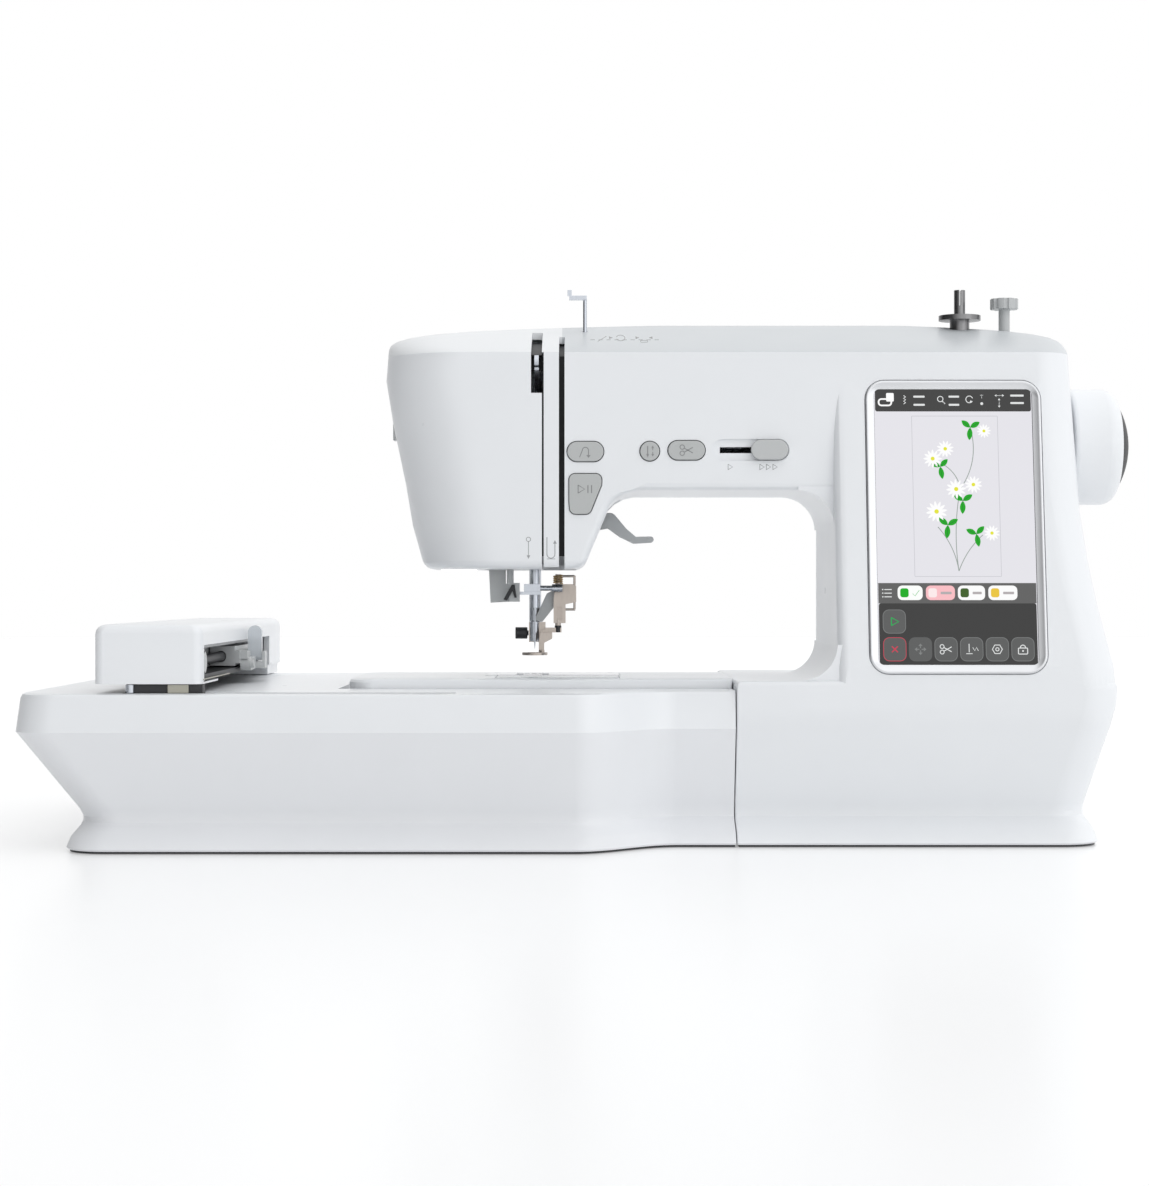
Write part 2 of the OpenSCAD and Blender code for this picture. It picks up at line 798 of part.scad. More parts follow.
module trim_button() {
    key(52.8, 216.3) stadium(20.3, 10.5);
}

module speed_knob() {
    color(grey) {
        facing(arm_y - 4, arm_y + 1.2) translate([98.4, 216.5]) stadium(20.4, 11);
        facing(arm_y + 1.2, arm_y + 6) translate([98.4, 216.5]) square([12, 2.6], center = true);
    }
}

// ---- top fittings ----

module bobbin_spindle() {
    color(steel) translate([spindle_at[0], spindle_at[1], 0]) difference() {
        union() {
            translate([0, 0, 276]) cylinder(r = 3.2, h = 36);
            translate([0, 0, 294.5]) cylinder(r = 12, h = 2.8);
            translate([0, 0, 286]) cylinder(r = 5.6, h = 8.5);
        }
        translate([-0.6, -5, 303]) cube([1.2, 10, 10]);
    }
}

module bobbin_stopper() {
    color(grey) translate([stopper_at[0], stopper_at[1], 0]) difference() {
        union() {
            translate([0, 0, 280]) cylinder(r = 3.2, h = 22);
            translate([0, 0, 301]) cylinder(r = 8, h = 6);
        }
        for (a = [0:45:359]) rotate(a) translate([8.4, 0, 300]) cylinder(r = 1.4, h = 10);
    }
}

module thread_mast() {
    color(steel) {
        rod_z(mast_at[0], mast_at[1], 262, 306, 1.1);
        block([-12, -2], [mast_at[1] - 2, mast_at[1] + 2], [305, 307.4]);
        block([-13, -10.6], [mast_at[1] - 2, mast_at[1] + 2], [307.4, 310.6]);
    }
}

// ---- embroidery unit ----

function seam_y(z) = z < unit_crease_z ? lookup(z, FRONT_SIDE) : -136 + lookup(z, UNIT_FRONT);

// Outline of the unit at one height, with the swept step in its front.
function unit_ring(z, t) =
    let (y0 = unit_y + lookup(z, UNIT_FRONT) + t, ys = seam_y(z) + t,
         x0 = unit_x + lookup(z, UNIT_LEFT) + t, x1 = seam_x - gap - t, y1 = unit_back_y - t)
    [for (p = concat(
        [[x1, y1]], quarter(x0 + 20, y1 - 20, 20, 90, 8), quarter(x0 + 22, y0 + 22, 22, 180, 10),
        [for (k = [0:14]) [-9 + 4 * k, y0 + (ys - y0) * (1 - cos(180 * k / 14)) / 2]],
        [[x1, ys]])) [p[0], p[1], z]];

module unit_form(levels, t) {
    skin([for (z = levels) unit_ring(z, t)]);
}

module channel(t) {
    block([channel_x - t, 90], [channel_y - t, 180], [-5, 95]);
}

module unit_lower_housing() {
    color(white) moulded() difference() {
        unit_form([1.5, 2.5, 5, 8, 10.5, 13, 15.3, 18, 22, 36, 50, unit_crease_z], 0);
        channel(0);
        difference() {
            unit_form([4, 8, 13, 15.3, 18, 22, 50, unit_crease_z + 1], 2.6);
            channel(2.6);
        }
    }
}

module unit_top_cover() {
    color(white) moulded() difference() {
        unit_form([unit_crease_z, 75, 81.8, 83.8, unit_z], 0);
        channel(0);
        difference() {
            unit_form([unit_crease_z - 1, 75, unit_z - 2.6], 2.6);
            channel(2.6);
        }
        block([-248, -72], [-171, -160], [75, 90]);
    }
}

module unit_feet() {
    color(dark) for (p = [[-255, -145], [-255, 140], [-160, 140], [30, -124], [-60, -145]])
        rod_z(p[0], p[1], 0, 1.5, 8);
}

module unit_rails() {
    color(steel) {
        rod_x(-252, -20, rod_y, rod_z, 4);
        for (x = [-257, -20]) block([x, x + 6], [rod_y - 4.6, rod_y + 8], [4.4, 70]);
    }
    color(dark) block([-262, -234], [20, 60], [4.2, 50]);
}

module arm_cover() {
    x1 = earm_x + earm_w;
    top = earm_z + earm_h;
    color(white) moulded() difference() {
        union() {
            skin([for (z = [earm_z, earm_z + 12, top - 5, top - 3, top - 1.5, top - 0.5, top])
                let (e = edge_in(z, -20, top, 5))
                    lift(outline(earm_x + e, x1 - e, -172 + e, 177 - e, [5, 5, 5, 5], 5), z)]);
            block([earm_x + 2, x1 - 2], [122, 175], [unit_z + 0.6, earm_z + 1]);
            skin([for (z = [lip_z, earm_z + 1])
                lift(outline(earm_x, x1, -172, -113, [5, 5, 1, 1], 5), z)]);
        }
        block([earm_x + 2.2, x1 - 3.5], [-168, 118], [lip_z - 1, top - 2.4]);
        block([x1 - 4, x1 + 5], [-165, 115], [earm_z - 1, earm_z + 18.5]);
    }
}

module arm_rail() {
    x1 = earm_x + earm_w;
    color(dark) {
        block([-259.6, -207], [-165, 114], [earm_z, earm_z + 2.6]);
        block([-246, -205.4], [-170, -161.5], [68, lip_z - 0.4]);
        block([-246, -209.2], [-167.6, -161.5], [68, earm_z]);
    }
    color(dark) difference() {
        block([-246, -205.4], [-170, -142], [52, 68]);
        rod_x(-250, -200, rod_y, rod_z, 4.4);
    }
    color(steel) rod_y(-164, 114, -216, earm_z + 9, 3);
    color(steel) block([-232, -228], [-164, 114], [earm_z + 2.6, earm_z + 10]);
    color(grey) rod_x(-222, -207, -150, earm_z + 9, 6);
}

module hoop_carriage() {
    slider_z = earm_z + 3.6;
    color(grey) difference() {
        union() {
            block([-222, -207.6], [-30, 52], [slider_z, slider_z + 11.4]);
            block([-208, -204.8], [-30, 46], [96.5, 104]);
            rotate([90, 0, 90]) translate([0, 0, -205]) linear_extrude(6) hull() {
                translate([-22, 96]) circle(3.8, $fn = 32);
                translate([36, 97.4]) circle(3.2, $fn = 32);
            }
            rod_x(-199.2, -197.4, -22, 96, 2.4);
            for (x = [[-206.8, -205], [-195.4, -193.8]]) block(x, [0, 10], [93.4, 103]);
            block([-206.8, -193.8], [0, 10], [92.8, 96.6]);
            block([-204.9, -200.8], [-26, -12.6], [99, 103.6]);
        }
        rod_y(-200, 200, -216, earm_z + 9, 3.4);
        block([-204.9, -195.5], [-1, 11], [96.6, 110]);
        rod_x(-215, -190, lever_at[0], lever_at[1], 1.25);
    }
}

module clamp_lever() {
    color("gainsboro") {
        facing(3, 7) hull() {
            translate([-200.2, 114]) circle(4.2, $fn = 40);
            translate([-200.2, 101]) square([8.2, 3], center = true);
        }
        rod_x(-204.3, -196.1, lever_at[0], lever_at[1], 2);
        rod_x(-206.8, -193.8, lever_at[0], lever_at[1], 1.2);
    }
}

base_plate();
rubber_feet();
front_cover();
rear_cover();
face_cover();
top_cover();
thread_guide_strip();
thread_channel();
free_arm_cover();
needle_plate();
chassis();
shaft_bushings();
main_motor();
drive_belts();
circuit_board();
display_bezel();
display_panel();
display_glass();
lamp_lens();
power_inlet();
thread_cutter();
bobbin_stopper();
cover_screws();
bobbin_case();
bobbin();
handwheel();
handwheel_cap();
main_shaft();
motor_pulley();
lower_shaft();
rotary_hook();
needle_bar();
needle_clamp();
needle();
take_up_lever();
presser_bar();
presser_spring();
foot_screw();
embroidery_foot();
foot_lifter();
needle_threader();
feed_dog();
feed_bar();
bobbin_cover();
speed_knob();
reverse_button();
start_button();
needle_button();
trim_button();
power_switch();
bobbin_spindle();
thread_mast();
unit_top_cover();
unit_lower_housing();
unit_feet();
unit_rails();
arm_cover();
arm_rail();
hoop_carriage();
clamp_lever();
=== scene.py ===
# %% [markdown]
# # A sewing and embroidery machine
# A home sewing machine with its embroidery unit slid on from the left. The moulded covers, shafts and
# keys come as a fixed frame of named solids. This lesson gives each one rounded edges and a real finish,
# then adds the small things that make it convincing: the picture on its touch screen, the printed
# guides, the wire loops round the needle and the turned fittings on top.

# %% The frame and its box
import bpy
import bmesh
import json
import math

import numpy as np
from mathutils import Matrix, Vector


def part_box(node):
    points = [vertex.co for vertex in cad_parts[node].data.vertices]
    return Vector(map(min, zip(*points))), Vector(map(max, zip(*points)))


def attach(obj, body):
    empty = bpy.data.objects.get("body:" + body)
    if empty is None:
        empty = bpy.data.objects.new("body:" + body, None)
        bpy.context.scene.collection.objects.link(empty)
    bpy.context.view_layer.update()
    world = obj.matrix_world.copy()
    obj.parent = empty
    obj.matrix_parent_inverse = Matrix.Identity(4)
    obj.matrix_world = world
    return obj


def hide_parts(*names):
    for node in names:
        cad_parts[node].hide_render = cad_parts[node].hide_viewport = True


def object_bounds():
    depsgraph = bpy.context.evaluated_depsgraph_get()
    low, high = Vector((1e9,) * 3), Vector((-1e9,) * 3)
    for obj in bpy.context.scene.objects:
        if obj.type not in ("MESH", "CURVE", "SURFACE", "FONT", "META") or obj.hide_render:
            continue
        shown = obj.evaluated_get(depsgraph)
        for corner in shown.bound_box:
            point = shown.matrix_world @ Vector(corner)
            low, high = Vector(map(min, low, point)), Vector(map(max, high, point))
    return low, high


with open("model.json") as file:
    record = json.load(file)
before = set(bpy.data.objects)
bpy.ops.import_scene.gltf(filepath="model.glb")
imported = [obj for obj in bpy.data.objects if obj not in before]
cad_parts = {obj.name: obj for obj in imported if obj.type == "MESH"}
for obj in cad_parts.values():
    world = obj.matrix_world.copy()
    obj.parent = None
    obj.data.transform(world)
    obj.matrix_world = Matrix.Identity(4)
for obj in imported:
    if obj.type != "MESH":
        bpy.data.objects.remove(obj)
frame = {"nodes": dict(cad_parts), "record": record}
cad_low, cad_high = [list(v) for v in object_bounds()]
record = frame["record"]
body_of = {n: b for b, members in record["behaviour"]["bodies"].items() for n in members}
slot_of = {s["node"]: s["material_slot"] for s in record["subparts"]}
render_levels = 2
MM = 0.001

# %% [markdown]
# ## Camera and studio
# The machine is looked at straight on, a little below the middle of its height, from one and a third
# metres in front of it. A level camera keeps upright lines upright. Strong lamps would leave hard pools of
# light on so much white, so the surround itself is the light: white behind the machine, brighter overhead,
# and dimmer on the left. White plastic then shows its form in broad soft shades. The camera's own rays see
# plain white, so the backdrop stays clean from every side. One weak, wide lamp lifts the right-hand end.

# %% Camera
EYE_X, EYE_IN_FRONT, EYE_HEIGHT = -9.0, 1300.0, 137.6
scene = bpy.context.scene
eye = (EYE_X * MM, cad_low[1] - EYE_IN_FRONT * MM, EYE_HEIGHT * MM)
lens_data = bpy.data.cameras.new("camera")
lens_data.lens = 75.13
lens_data.sensor_width = 36
lens_data.sensor_fit = "AUTO"
camera = bpy.data.objects.new("camera", lens_data)
camera.location = eye
camera.rotation_euler = (math.pi / 2, 0, 0)
scene.collection.objects.link(camera)
scene.camera = camera
scene.view_settings.view_transform = "Standard"
scene.view_settings.look = "None"
print("camera at", [round(v, 4) for v in eye])


# %% Surround
def studio_surround(front=0.22, above=0.50, left=1.60):
    """Light from every side, by direction d: 1 behind the machine, plus front * max(0, -dy), plus
    above * max(0, dz - 0.25), less left * max(0, -dx - 0.05) * (1 - 0.6 * max(0, dy)), and never
    below 0.03. Rays straight from the camera get 1."""
    world = bpy.data.worlds.new("studio")
    scene.world = world
    world.use_nodes = True
    nodes, links = world.node_tree.nodes, world.node_tree.links
    way = nodes.new("ShaderNodeSeparateXYZ")
    links.new(nodes.new("ShaderNodeTexCoord").outputs["Generated"], way.inputs[0])

    def maths(kind, a, b):
        made = nodes.new("ShaderNodeMath")
        made.operation = kind
        for slot, value in enumerate((a, b)):
            if isinstance(value, (int, float)):
                made.inputs[slot].default_value = value
            else:
                links.new(value, made.inputs[slot])
        return made.outputs[0]

    def beyond(socket, sign, start):
        return maths("MAXIMUM", maths("SUBTRACT", maths("MULTIPLY", socket, sign), start), 0)

    x, y, z = way.outputs
    behind = maths("MULTIPLY", beyond(y, 1, 0), 0.6)
    dim = maths("MULTIPLY", beyond(x, -1, 0.05), maths("SUBTRACT", 1, behind))
    level = maths("ADD", 1.0, maths("MULTIPLY", beyond(y, -1, 0), front))
    level = maths("ADD", level, maths("MULTIPLY", beyond(z, 1, 0.25), above))
    level = maths("MAXIMUM", maths("SUBTRACT", level, maths("MULTIPLY", dim, left)), 0.03)
    seen = nodes.new("ShaderNodeLightPath").outputs["Is Camera Ray"]
    level = maths("ADD", level, maths("MULTIPLY", seen, maths("SUBTRACT", 1, level)))
    links.new(level, nodes["Background"].inputs["Strength"])
    nodes["Background"].inputs["Color"].default_value = (1, 1, 1, 1)


def soft_lamp(name, place, aim, size, watts):
    """A square area lamp, size metres wide, at place and turned to face aim."""
    data = bpy.data.lights.new(name, "AREA")
    data.size = size
    data.energy = watts
    lamp = bpy.data.objects.new(name, data)
    lamp.location = place
    way = np.array(aim) - np.array(place)
    lamp.rotation_euler = (math.atan2(math.hypot(way[0], way[1]), -way[2]), 0, math.atan2(-way[0], way[1]))
    scene.collection.objects.link(lamp)


studio_surround()
soft_lamp("lamp_right", (0.95, -0.85, 0.40), (0.2, -0.1, 0.15), 0.7, 0.75)


# %% [markdown]
# ## Shader maths as Python
# Node trees are easier to read as formulas. `Wire` wraps a socket so that `+`, `-` and `*` add Math nodes,
# and `Finish.node` makes any other node from its settings and its inputs.

# %% Sockets with operators
class Wire:
    """A socket of a material's node tree that can be used in arithmetic."""

    def __init__(self, finish, socket):
        self.finish, self.socket = finish, socket

    def _maths(self, kind, a, b):
        return self.finish.node("ShaderNodeMath", {"operation": kind}, {0: a, 1: b})

    def __add__(self, other):
        return self._maths("ADD", self, other)

    def __sub__(self, other):
        return self._maths("SUBTRACT", self, other)

    def __rsub__(self, other):
        return self._maths("SUBTRACT", other, self)

    def __mul__(self, other):
        return self._maths("MULTIPLY", self, other)

    __radd__, __rmul__ = __add__, __mul__

    def above(self, level):
        return self._maths("GREATER_THAN", self, level)


class Finish:
    """One procedural material. Constants sit on the shader's own sockets; only what varies is linked."""

    def __init__(self, name, **constants):
        self.material = bpy.data.materials.new(name)
        self.material.use_nodes = True
        self.tree = self.material.node_tree
        self.shader = self.tree.nodes["Principled BSDF"]
        for key, value in constants.items():
            self.shader.inputs[key.replace("_", " ")].default_value = value

    def node(self, kind, settings=None, inputs=None, output=0):
        made = self.tree.nodes.new(kind)
        for key, value in (settings or {}).items():
            if key == "stops":
                ramp = made.color_ramp.elements
                for i, (at, colour) in enumerate(value):
                    stop = ramp[i] if i < 2 else ramp.new(at)
                    stop.position, stop.color = at, (*colour, 1)
            else:
                setattr(made, key, value)
        for key, value in (inputs or {}).items():
            if isinstance(value, Wire):
                self.tree.links.new(value.socket, made.inputs[key])
            else:
                made.inputs[key].default_value = value
        return Wire(self, made.outputs[output])

    def place(self, scale=(1, 1, 1)):
        where = self.node("ShaderNodeTexCoord", output=3)
        return self.node("ShaderNodeMapping", {}, {"Vector": where, "Scale": scale})

    def noise(self, scale, detail=2.0, stretch=(1, 1, 1)):
        inputs = {"Vector": self.place(stretch), "Scale": scale, "Detail": detail}
        return self.node("ShaderNodeTexNoise", {}, inputs)

    def ramp(self, value, stops):
        return self.node("ShaderNodeValToRGB", {"stops": stops}, {0: value})

    def drive(self, socket, value):
        self.tree.links.new(value.socket, self.shader.inputs[socket])
        return self

    def bump(self, height, strength, distance):
        inputs = {"Height": height, "Strength": strength, "Distance": distance}
        return self.drive("Normal", self.node("ShaderNodeBump", {}, inputs))


def around(colour, spread):
    """Two stops, a little darker and a little lighter than a colour."""
    return [(0.3, [c * (1 - spread) for c in colour]), (0.7, [min(1, c * (1 + spread)) for c in colour])]


# %% [markdown]
# ## Finishes
# Most of the machine is one white plastic, moulded with a very fine satin grain. A broad, faint noise
# varies how glossy it is, as handled plastic does, and a fine one breaks up the reflection. Metals get
# noise stretched along the tool marks, and the dark parts are matt so that they read as shadow gaps.

# %% Plastics
def moulded_plastic(name, colour, rough, grain=0.05, coat=0.0):
    f = Finish(name, Coat_Roughness=0.18, Coat_Weight=coat, IOR=1.47)
    f.drive("Base Color", f.ramp(f.noise(14, 3), around(colour, 0.012)))
    f.drive("Roughness", f.noise(38, 2) * 0.10 + (rough - 0.05))
    f.bump(f.noise(2600, 1), grain, 0.00005)
    return f.material


def roof_finish_with_painted_shade(split=-0.016, ridge=-0.043):
    """White, with painted shade on the front bevel: pale grey right of the thread slot at x = split, in
    front of y = ridge.
    """
    f = Finish("roof_plastic_painted_shade", Coat_Roughness=0.2, Coat_Weight=0.05, IOR=1.45)
    x = f.node("ShaderNodeSeparateXYZ", {}, {0: f.place()})
    y = f.node("ShaderNodeSeparateXYZ", {}, {0: f.place()}, output=1)
    # painted shade: the bevel's grey stands in for the shade it gets from the light; the noise adds a faint
    # random tone
    painted_shade_and_tone = x.above(split) * (ridge - y).above(0) * 0.5 + f.noise(14, 3) * 0.05
    f.drive("Base Color", f.ramp(painted_shade_and_tone, [(0.1, (0.80, 0.82, 0.84)), (0.45, (0.60, 0.63, 0.655))]))
    f.drive("Roughness", f.noise(38, 2) * 0.10 + 0.32)
    f.bump(f.noise(2600, 1), 0.05, 0.00005)
    return f.material


roof_plastic_painted_shade = roof_finish_with_painted_shade()
white_plastic = moulded_plastic("white_moulded_plastic", (0.80, 0.82, 0.845), 0.30, coat=0.12)
lower_plastic = moulded_plastic("white_base_plastic", (0.785, 0.80, 0.825), 0.34, coat=0.08)
grey_plastic = moulded_plastic("pale_grey_plastic", (0.50, 0.515, 0.52), 0.38)
key_plastic = moulded_plastic("key_grey_plastic", (0.47, 0.485, 0.485), 0.42)
dark_plastic = moulded_plastic("dark_plastic", (0.028, 0.029, 0.032), 0.5, 0.12)
rubber = moulded_plastic("black_rubber", (0.018, 0.018, 0.018), 0.75, 0.3)


def frosted_plastic(name, colour):
    f = Finish(name, Transmission_Weight=0.35, IOR=1.45)
    f.drive("Base Color", f.ramp(f.noise(60), around(colour, 0.03)))
    f.drive("Roughness", f.noise(90) * 0.08 + 0.2)
    f.bump(f.noise(900, 1), 0.05, 0.0001)
    return f.material


clear_plastic = frosted_plastic("frosted_clear_plastic", (0.76, 0.80, 0.84))


# %% Metals
def turned_metal(name, colour, rough, stretch=(1, 1, 30), scale=120):
    f = Finish(name, Metallic=1.0)
    streak = f.noise(scale, 3, stretch)
    f.drive("Base Color", f.ramp(streak, around(colour, 0.06)))
    f.drive("Roughness", streak * 0.16 + (rough - 0.08))
    f.bump(streak, 0.08, 0.0001)
    return f.material


steel = turned_metal("nickel_steel", (0.55, 0.58, 0.63), 0.26, (1, 1, 0.05), 400)
dark_steel = turned_metal("dark_spindle_steel", (0.24, 0.24, 0.245), 0.3, (1, 1, 0.05), 500)
plate_steel = turned_metal("satin_plate_steel", (0.74, 0.75, 0.77), 0.30, (0.04, 1, 1), 700)
silver_trim = turned_metal("silver_trim", (0.66, 0.67, 0.69), 0.30, (1, 1, 1), 9)
cast_metal = turned_metal("cast_aluminium", (0.48, 0.49, 0.5), 0.5, (1, 1, 1), 300)
bronze = turned_metal("sintered_bronze", (0.5, 0.34, 0.16), 0.45, (1, 1, 1), 900)
foot_metal = turned_metal("foot_nickel", (0.47, 0.42, 0.38), 0.33, (1, 1, 0.3), 500)


# %% Glass, lens and circuit board
def screen_glass_finish():
    f = Finish("screen_glass", IOR=1.5, Coat_Weight=0.6, Coat_Roughness=0.04)
    f.drive("Base Color", f.ramp(f.noise(8), around((0.022, 0.022, 0.025), 0.05)))
    f.drive("Roughness", f.noise(30) * 0.03 + 0.06)
    return f.material


def board_finish():
    f = Finish("circuit_board")
    lines = f.noise(260, 1, (1, 1, 6)).above(0.56)
    f.drive("Base Color", f.ramp(lines, [(0, (0.01, 0.11, 0.05)), (1, (0.03, 0.22, 0.1))]))
    f.drive("Roughness", lines * 0.2 + 0.35)
    f.bump(lines, 0.2, 0.0001)
    return f.material


def lens_finish():
    f = Finish("lamp_lens", Transmission_Weight=0.4, Emission_Strength=1.5)
    glow = f.ramp(f.noise(200), around((0.9, 0.9, 0.85), 0.03))
    f.drive("Base Color", glow)
    f.drive("Emission Color", glow)
    f.drive("Roughness", f.noise(200) * 0.1 + 0.2)
    return f.material


screen_glass = screen_glass_finish()
circuit_green = board_finish()
lens_plastic = lens_finish()


# %% [markdown]
# ## Inks
# Screen pictures and printed guides are flat shapes of many colours. Each set is one mesh whose points
# carry an `ink` colour, so one material can show them all: lit for the screen, plain for print.

# %% Ink materials
def ink_finish(name, lit):
    f = Finish(name, IOR=1.2, Emission_Strength=1.0 if lit else 0.0)
    ink = f.node("ShaderNodeAttribute", {"attribute_name": "ink"})
    if lit:
        f.shader.inputs["Base Color"].default_value = (0.01, 0.01, 0.01, 1)
        f.drive("Emission Color", ink)
    else:
        f.drive("Base Color", ink)
    f.drive("Roughness", f.noise(300) * 0.1 + 0.12)
    return f.material


lit_ink = ink_finish("screen_picture", True)
print_ink = ink_finish("printed_ink", False)

# %% [markdown]
# ## From frame solid to finished piece
# A solid from the frame is a set of loose triangles with knife-sharp edges. Real mouldings have a small
# radius on every edge, which catches the light. `refined` copies the solid, merges its points, joins
# flat triangles, marks the true edges and bevels those, and leaves the soft curves to smooth shading.

# %% Rounding the edges of a frame solid
finish_for = {
    "white_shell": white_plastic, "dark_plastic": dark_plastic, "grey_plastic": grey_plastic,
    "rubber": rubber, "steel": steel, "cast_metal": cast_metal, "bronze": bronze,
    "board": circuit_green, "silver_trim": silver_trim, "screen_glass": screen_glass,
    "lens": lens_plastic, "clear_plastic": clear_plastic, "foot_metal": foot_metal,
}


def join_scene(name, mesh, material, body):
    """Links a mesh as a piece that rides on a body and takes its finish from a slot."""
    mesh.materials.clear()
    mesh.materials.append(material)
    piece = bpy.data.objects.new(name, mesh)
    scene.collection.objects.link(piece)
    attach(piece, body)
    return piece


def refined(node, width, material=None, sharp=28):
    """The node's own shape, merged and with edges sharper than an angle rounded to a width in mm."""
    mesh = frame["nodes"][node].data.copy()
    shape = bmesh.new()
    shape.from_mesh(mesh)
    bmesh.ops.remove_doubles(shape, verts=shape.verts, dist=2e-6)
    bmesh.ops.dissolve_limit(shape, angle_limit=math.radians(0.4), verts=shape.verts, edges=shape.edges)
    weight = shape.edges.layers.float.new("bevel_weight_edge")
    for edge in shape.edges:
        crisp = len(edge.link_faces) == 2 and edge.calc_face_angle(0) > math.radians(sharp)
        edge.smooth = not crisp
        edge[weight] = 1.0 if crisp and edge.calc_length() > 0.4 * width * MM else 0.0
    for face in shape.faces:
        face.smooth = True
    shape.to_mesh(mesh)
    shape.free()
    mesh.name = node + "_finished"
    slot = slot_of[node]
    piece = join_scene(node + "_finished", mesh, material or finish_for[slot], body_of[node])
    if width:
        bevel = piece.modifiers.new("edges", "BEVEL")
        bevel.width = width * MM
        bevel.segments = render_levels
        bevel.limit_method = "WEIGHT"
        bevel.harden_normals = True
        bevel.use_clamp_overlap = True
    even = piece.modifiers.new("even", "WEIGHTED_NORMAL")
    even.keep_sharp = True
    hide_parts(node)
    return piece


ALREADY_ROUND = (
    "front_cover", "rear_cover", "face_cover", "top_cover", "free_arm_cover", "unit_top_cover",
    "unit_lower_housing", "presser_spring", "arm_cover", "needle", "thread_guide_strip",
)
USUAL_EDGE = 0.3
edge_width = {
    **dict.fromkeys(ALREADY_ROUND, 0.0),
    **dict.fromkeys(("reverse_button", "start_button", "needle_button", "trim_button"), 0.5),
    "handwheel": 0.6, "needle_bar": 0.2, "feed_dog": 0.08, "speed_knob": 0.9, "needle_plate": 0.15,
    "bobbin_cover": 0.2,
}
special_finish = {
    "needle_plate": plate_steel, "unit_lower_housing": lower_plastic, "top_cover": roof_plastic_painted_shade,
    "bobbin_spindle": dark_steel,
    **dict.fromkeys(("reverse_button", "start_button", "needle_button", "trim_button"), key_plastic),
}
for node in sorted(set(body_of) - {"display_bezel"}):
    refined(node, edge_width.get(node, USUAL_EDGE), material=special_finish.get(node))
print("finished", len(body_of) - 1, "frame solids")

# %% [markdown]
# ## Inlays
# Screen icons, printed guides and thin trims are all flat shapes on some face. An `Inlay` collects them
# for one face: each shape becomes a closed slab a few hundredths of a millimetre thick, a little higher
# than the one under it, so nothing flickers, and it carries its ink on its points.

# %% Flat shapes on a face
def ink(red, green, blue):
    """A display colour, 0 to 255, as scene light."""
    return [((c / 255) ** 2.2) for c in (red, green, blue)] + [1.0]


def arc(cx, cz, r, start=0, end=360, n=24):
    """Points at radius r round a centre, from one angle to another in degrees, anticlockwise."""
    t = np.radians(np.linspace(start, end, n + 1))
    t = t[:-1] if end - start == 360 else t
    return np.column_stack([cx + r * np.cos(t), cz + r * np.sin(t)])


def rounded(x0, x1, z0, z1, r, n=5):
    """A rectangle whose corners are quarter circles of radius r."""
    return np.vstack([arc(x1 - r, z1 - r, r, 0, 90, n), arc(x0 + r, z1 - r, r, 90, 180, n),
                      arc(x0 + r, z0 + r, r, 180, 270, n), arc(x1 - r, z0 + r, r, 270, 359.9, n)])


class Inlay:
    """Coloured slabs on one face. surface(u, v, h) gives the place of a point h proud of the face, in mm."""

    def __init__(self, surface, step=0.02, sunk=0.02):
        self.surface, self.step, self.sunk = surface, step, sunk
        self.points, self.faces, self.inks, self.count = [], [], [], 0

    def _slab(self, loops, caps, colour, level):
        """Front and back copies of the loops, joined by a wall along each loop."""
        flat = np.vstack(loops)
        n = len(flat)
        for height in (self.step * level, -self.sunk):
            self.points.append(self.surface(flat[:, 0], flat[:, 1], height))
        base = self.count
        self.faces += [[base + i for i in cap] for cap in caps]
        self.faces += [[base + n + i for i in reversed(cap)] for cap in caps]
        start = base
        for loop in loops:
            m = len(loop)
            i = np.arange(m)
            j = (i + 1) % m
            self.faces += np.column_stack([start + n + i, start + n + j, start + j, start + i]).tolist()
            start += m
        self.inks += [colour] * (2 * n)
        self.count += 2 * n

    def fill(self, loop, colour, level=1):
        """A filled outline; one drawn clockwise has a negative area and is turned round first."""
        loop = np.asarray(loop, float)
        u, v = loop.T
        if np.sum(u * np.roll(v, -1) - v * np.roll(u, -1)) < 0:
            loop = loop[::-1]
        self._slab([loop], [list(range(len(loop)))], colour, level)

    def stroke(self, path, width, colour, level=2, closed=False):
        """A line of a width along a path: its two sides lie half the width along the path's normal."""
        path = np.asarray(path, float)
        if closed:
            way = np.roll(path, -1, 0) - np.roll(path, 1, 0)
        else:
            way = np.gradient(path, axis=0)
        way /= np.linalg.norm(way, axis=1, keepdims=True)
        side = np.column_stack([-way[:, 1], way[:, 0]]) * width / 2
        m = len(path)
        if closed:
            caps = [[i, (i + 1) % m, 2 * m - 1 - (i + 1) % m, 2 * m - 1 - i] for i in range(m)]
            self._slab([path - side, (path + side)[::-1]], caps, colour, level)
        else:
            caps = [[i, i + 1, 2 * m - 2 - i, 2 * m - 1 - i] for i in range(m - 1)]
            self._slab([np.vstack([path - side, (path + side)[::-1]])], caps, colour, level)

    def line(self, u0, v0, u1, v1, width, colour, level=2):
        self.stroke([(u0, v0), (u1, v1)], width, colour, level)

    def bars(self, u, v, length, colour, gap=2.7, level=3):
        """Two short bars, one over the other, in the place of small figures."""
        for dz in (0, -gap):
            self.fill(rounded(u, u + length, v + dz, v + dz + 1.1, 0.3, 3), colour, level)

    def piece(self, name, material, body, slot):
        mesh = bpy.data.meshes.new(name)
        mesh.from_pydata(np.vstack(self.points) * MM, [], self.faces)
        layer = mesh.attributes.new("ink", "FLOAT_COLOR", "POINT")
        layer.data.foreach_set("color", np.array(self.inks, np.float32).ravel())
        print(name, len(self.faces), "faces")
        return join_scene(name, mesh, material, body)


def front_face(node):
    """The upright plane of a node's front: u across, v up, h towards the viewer."""
    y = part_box(node)[0].y / MM
    return lambda u, v, h: np.column_stack([u, np.full_like(u, y - h), v])


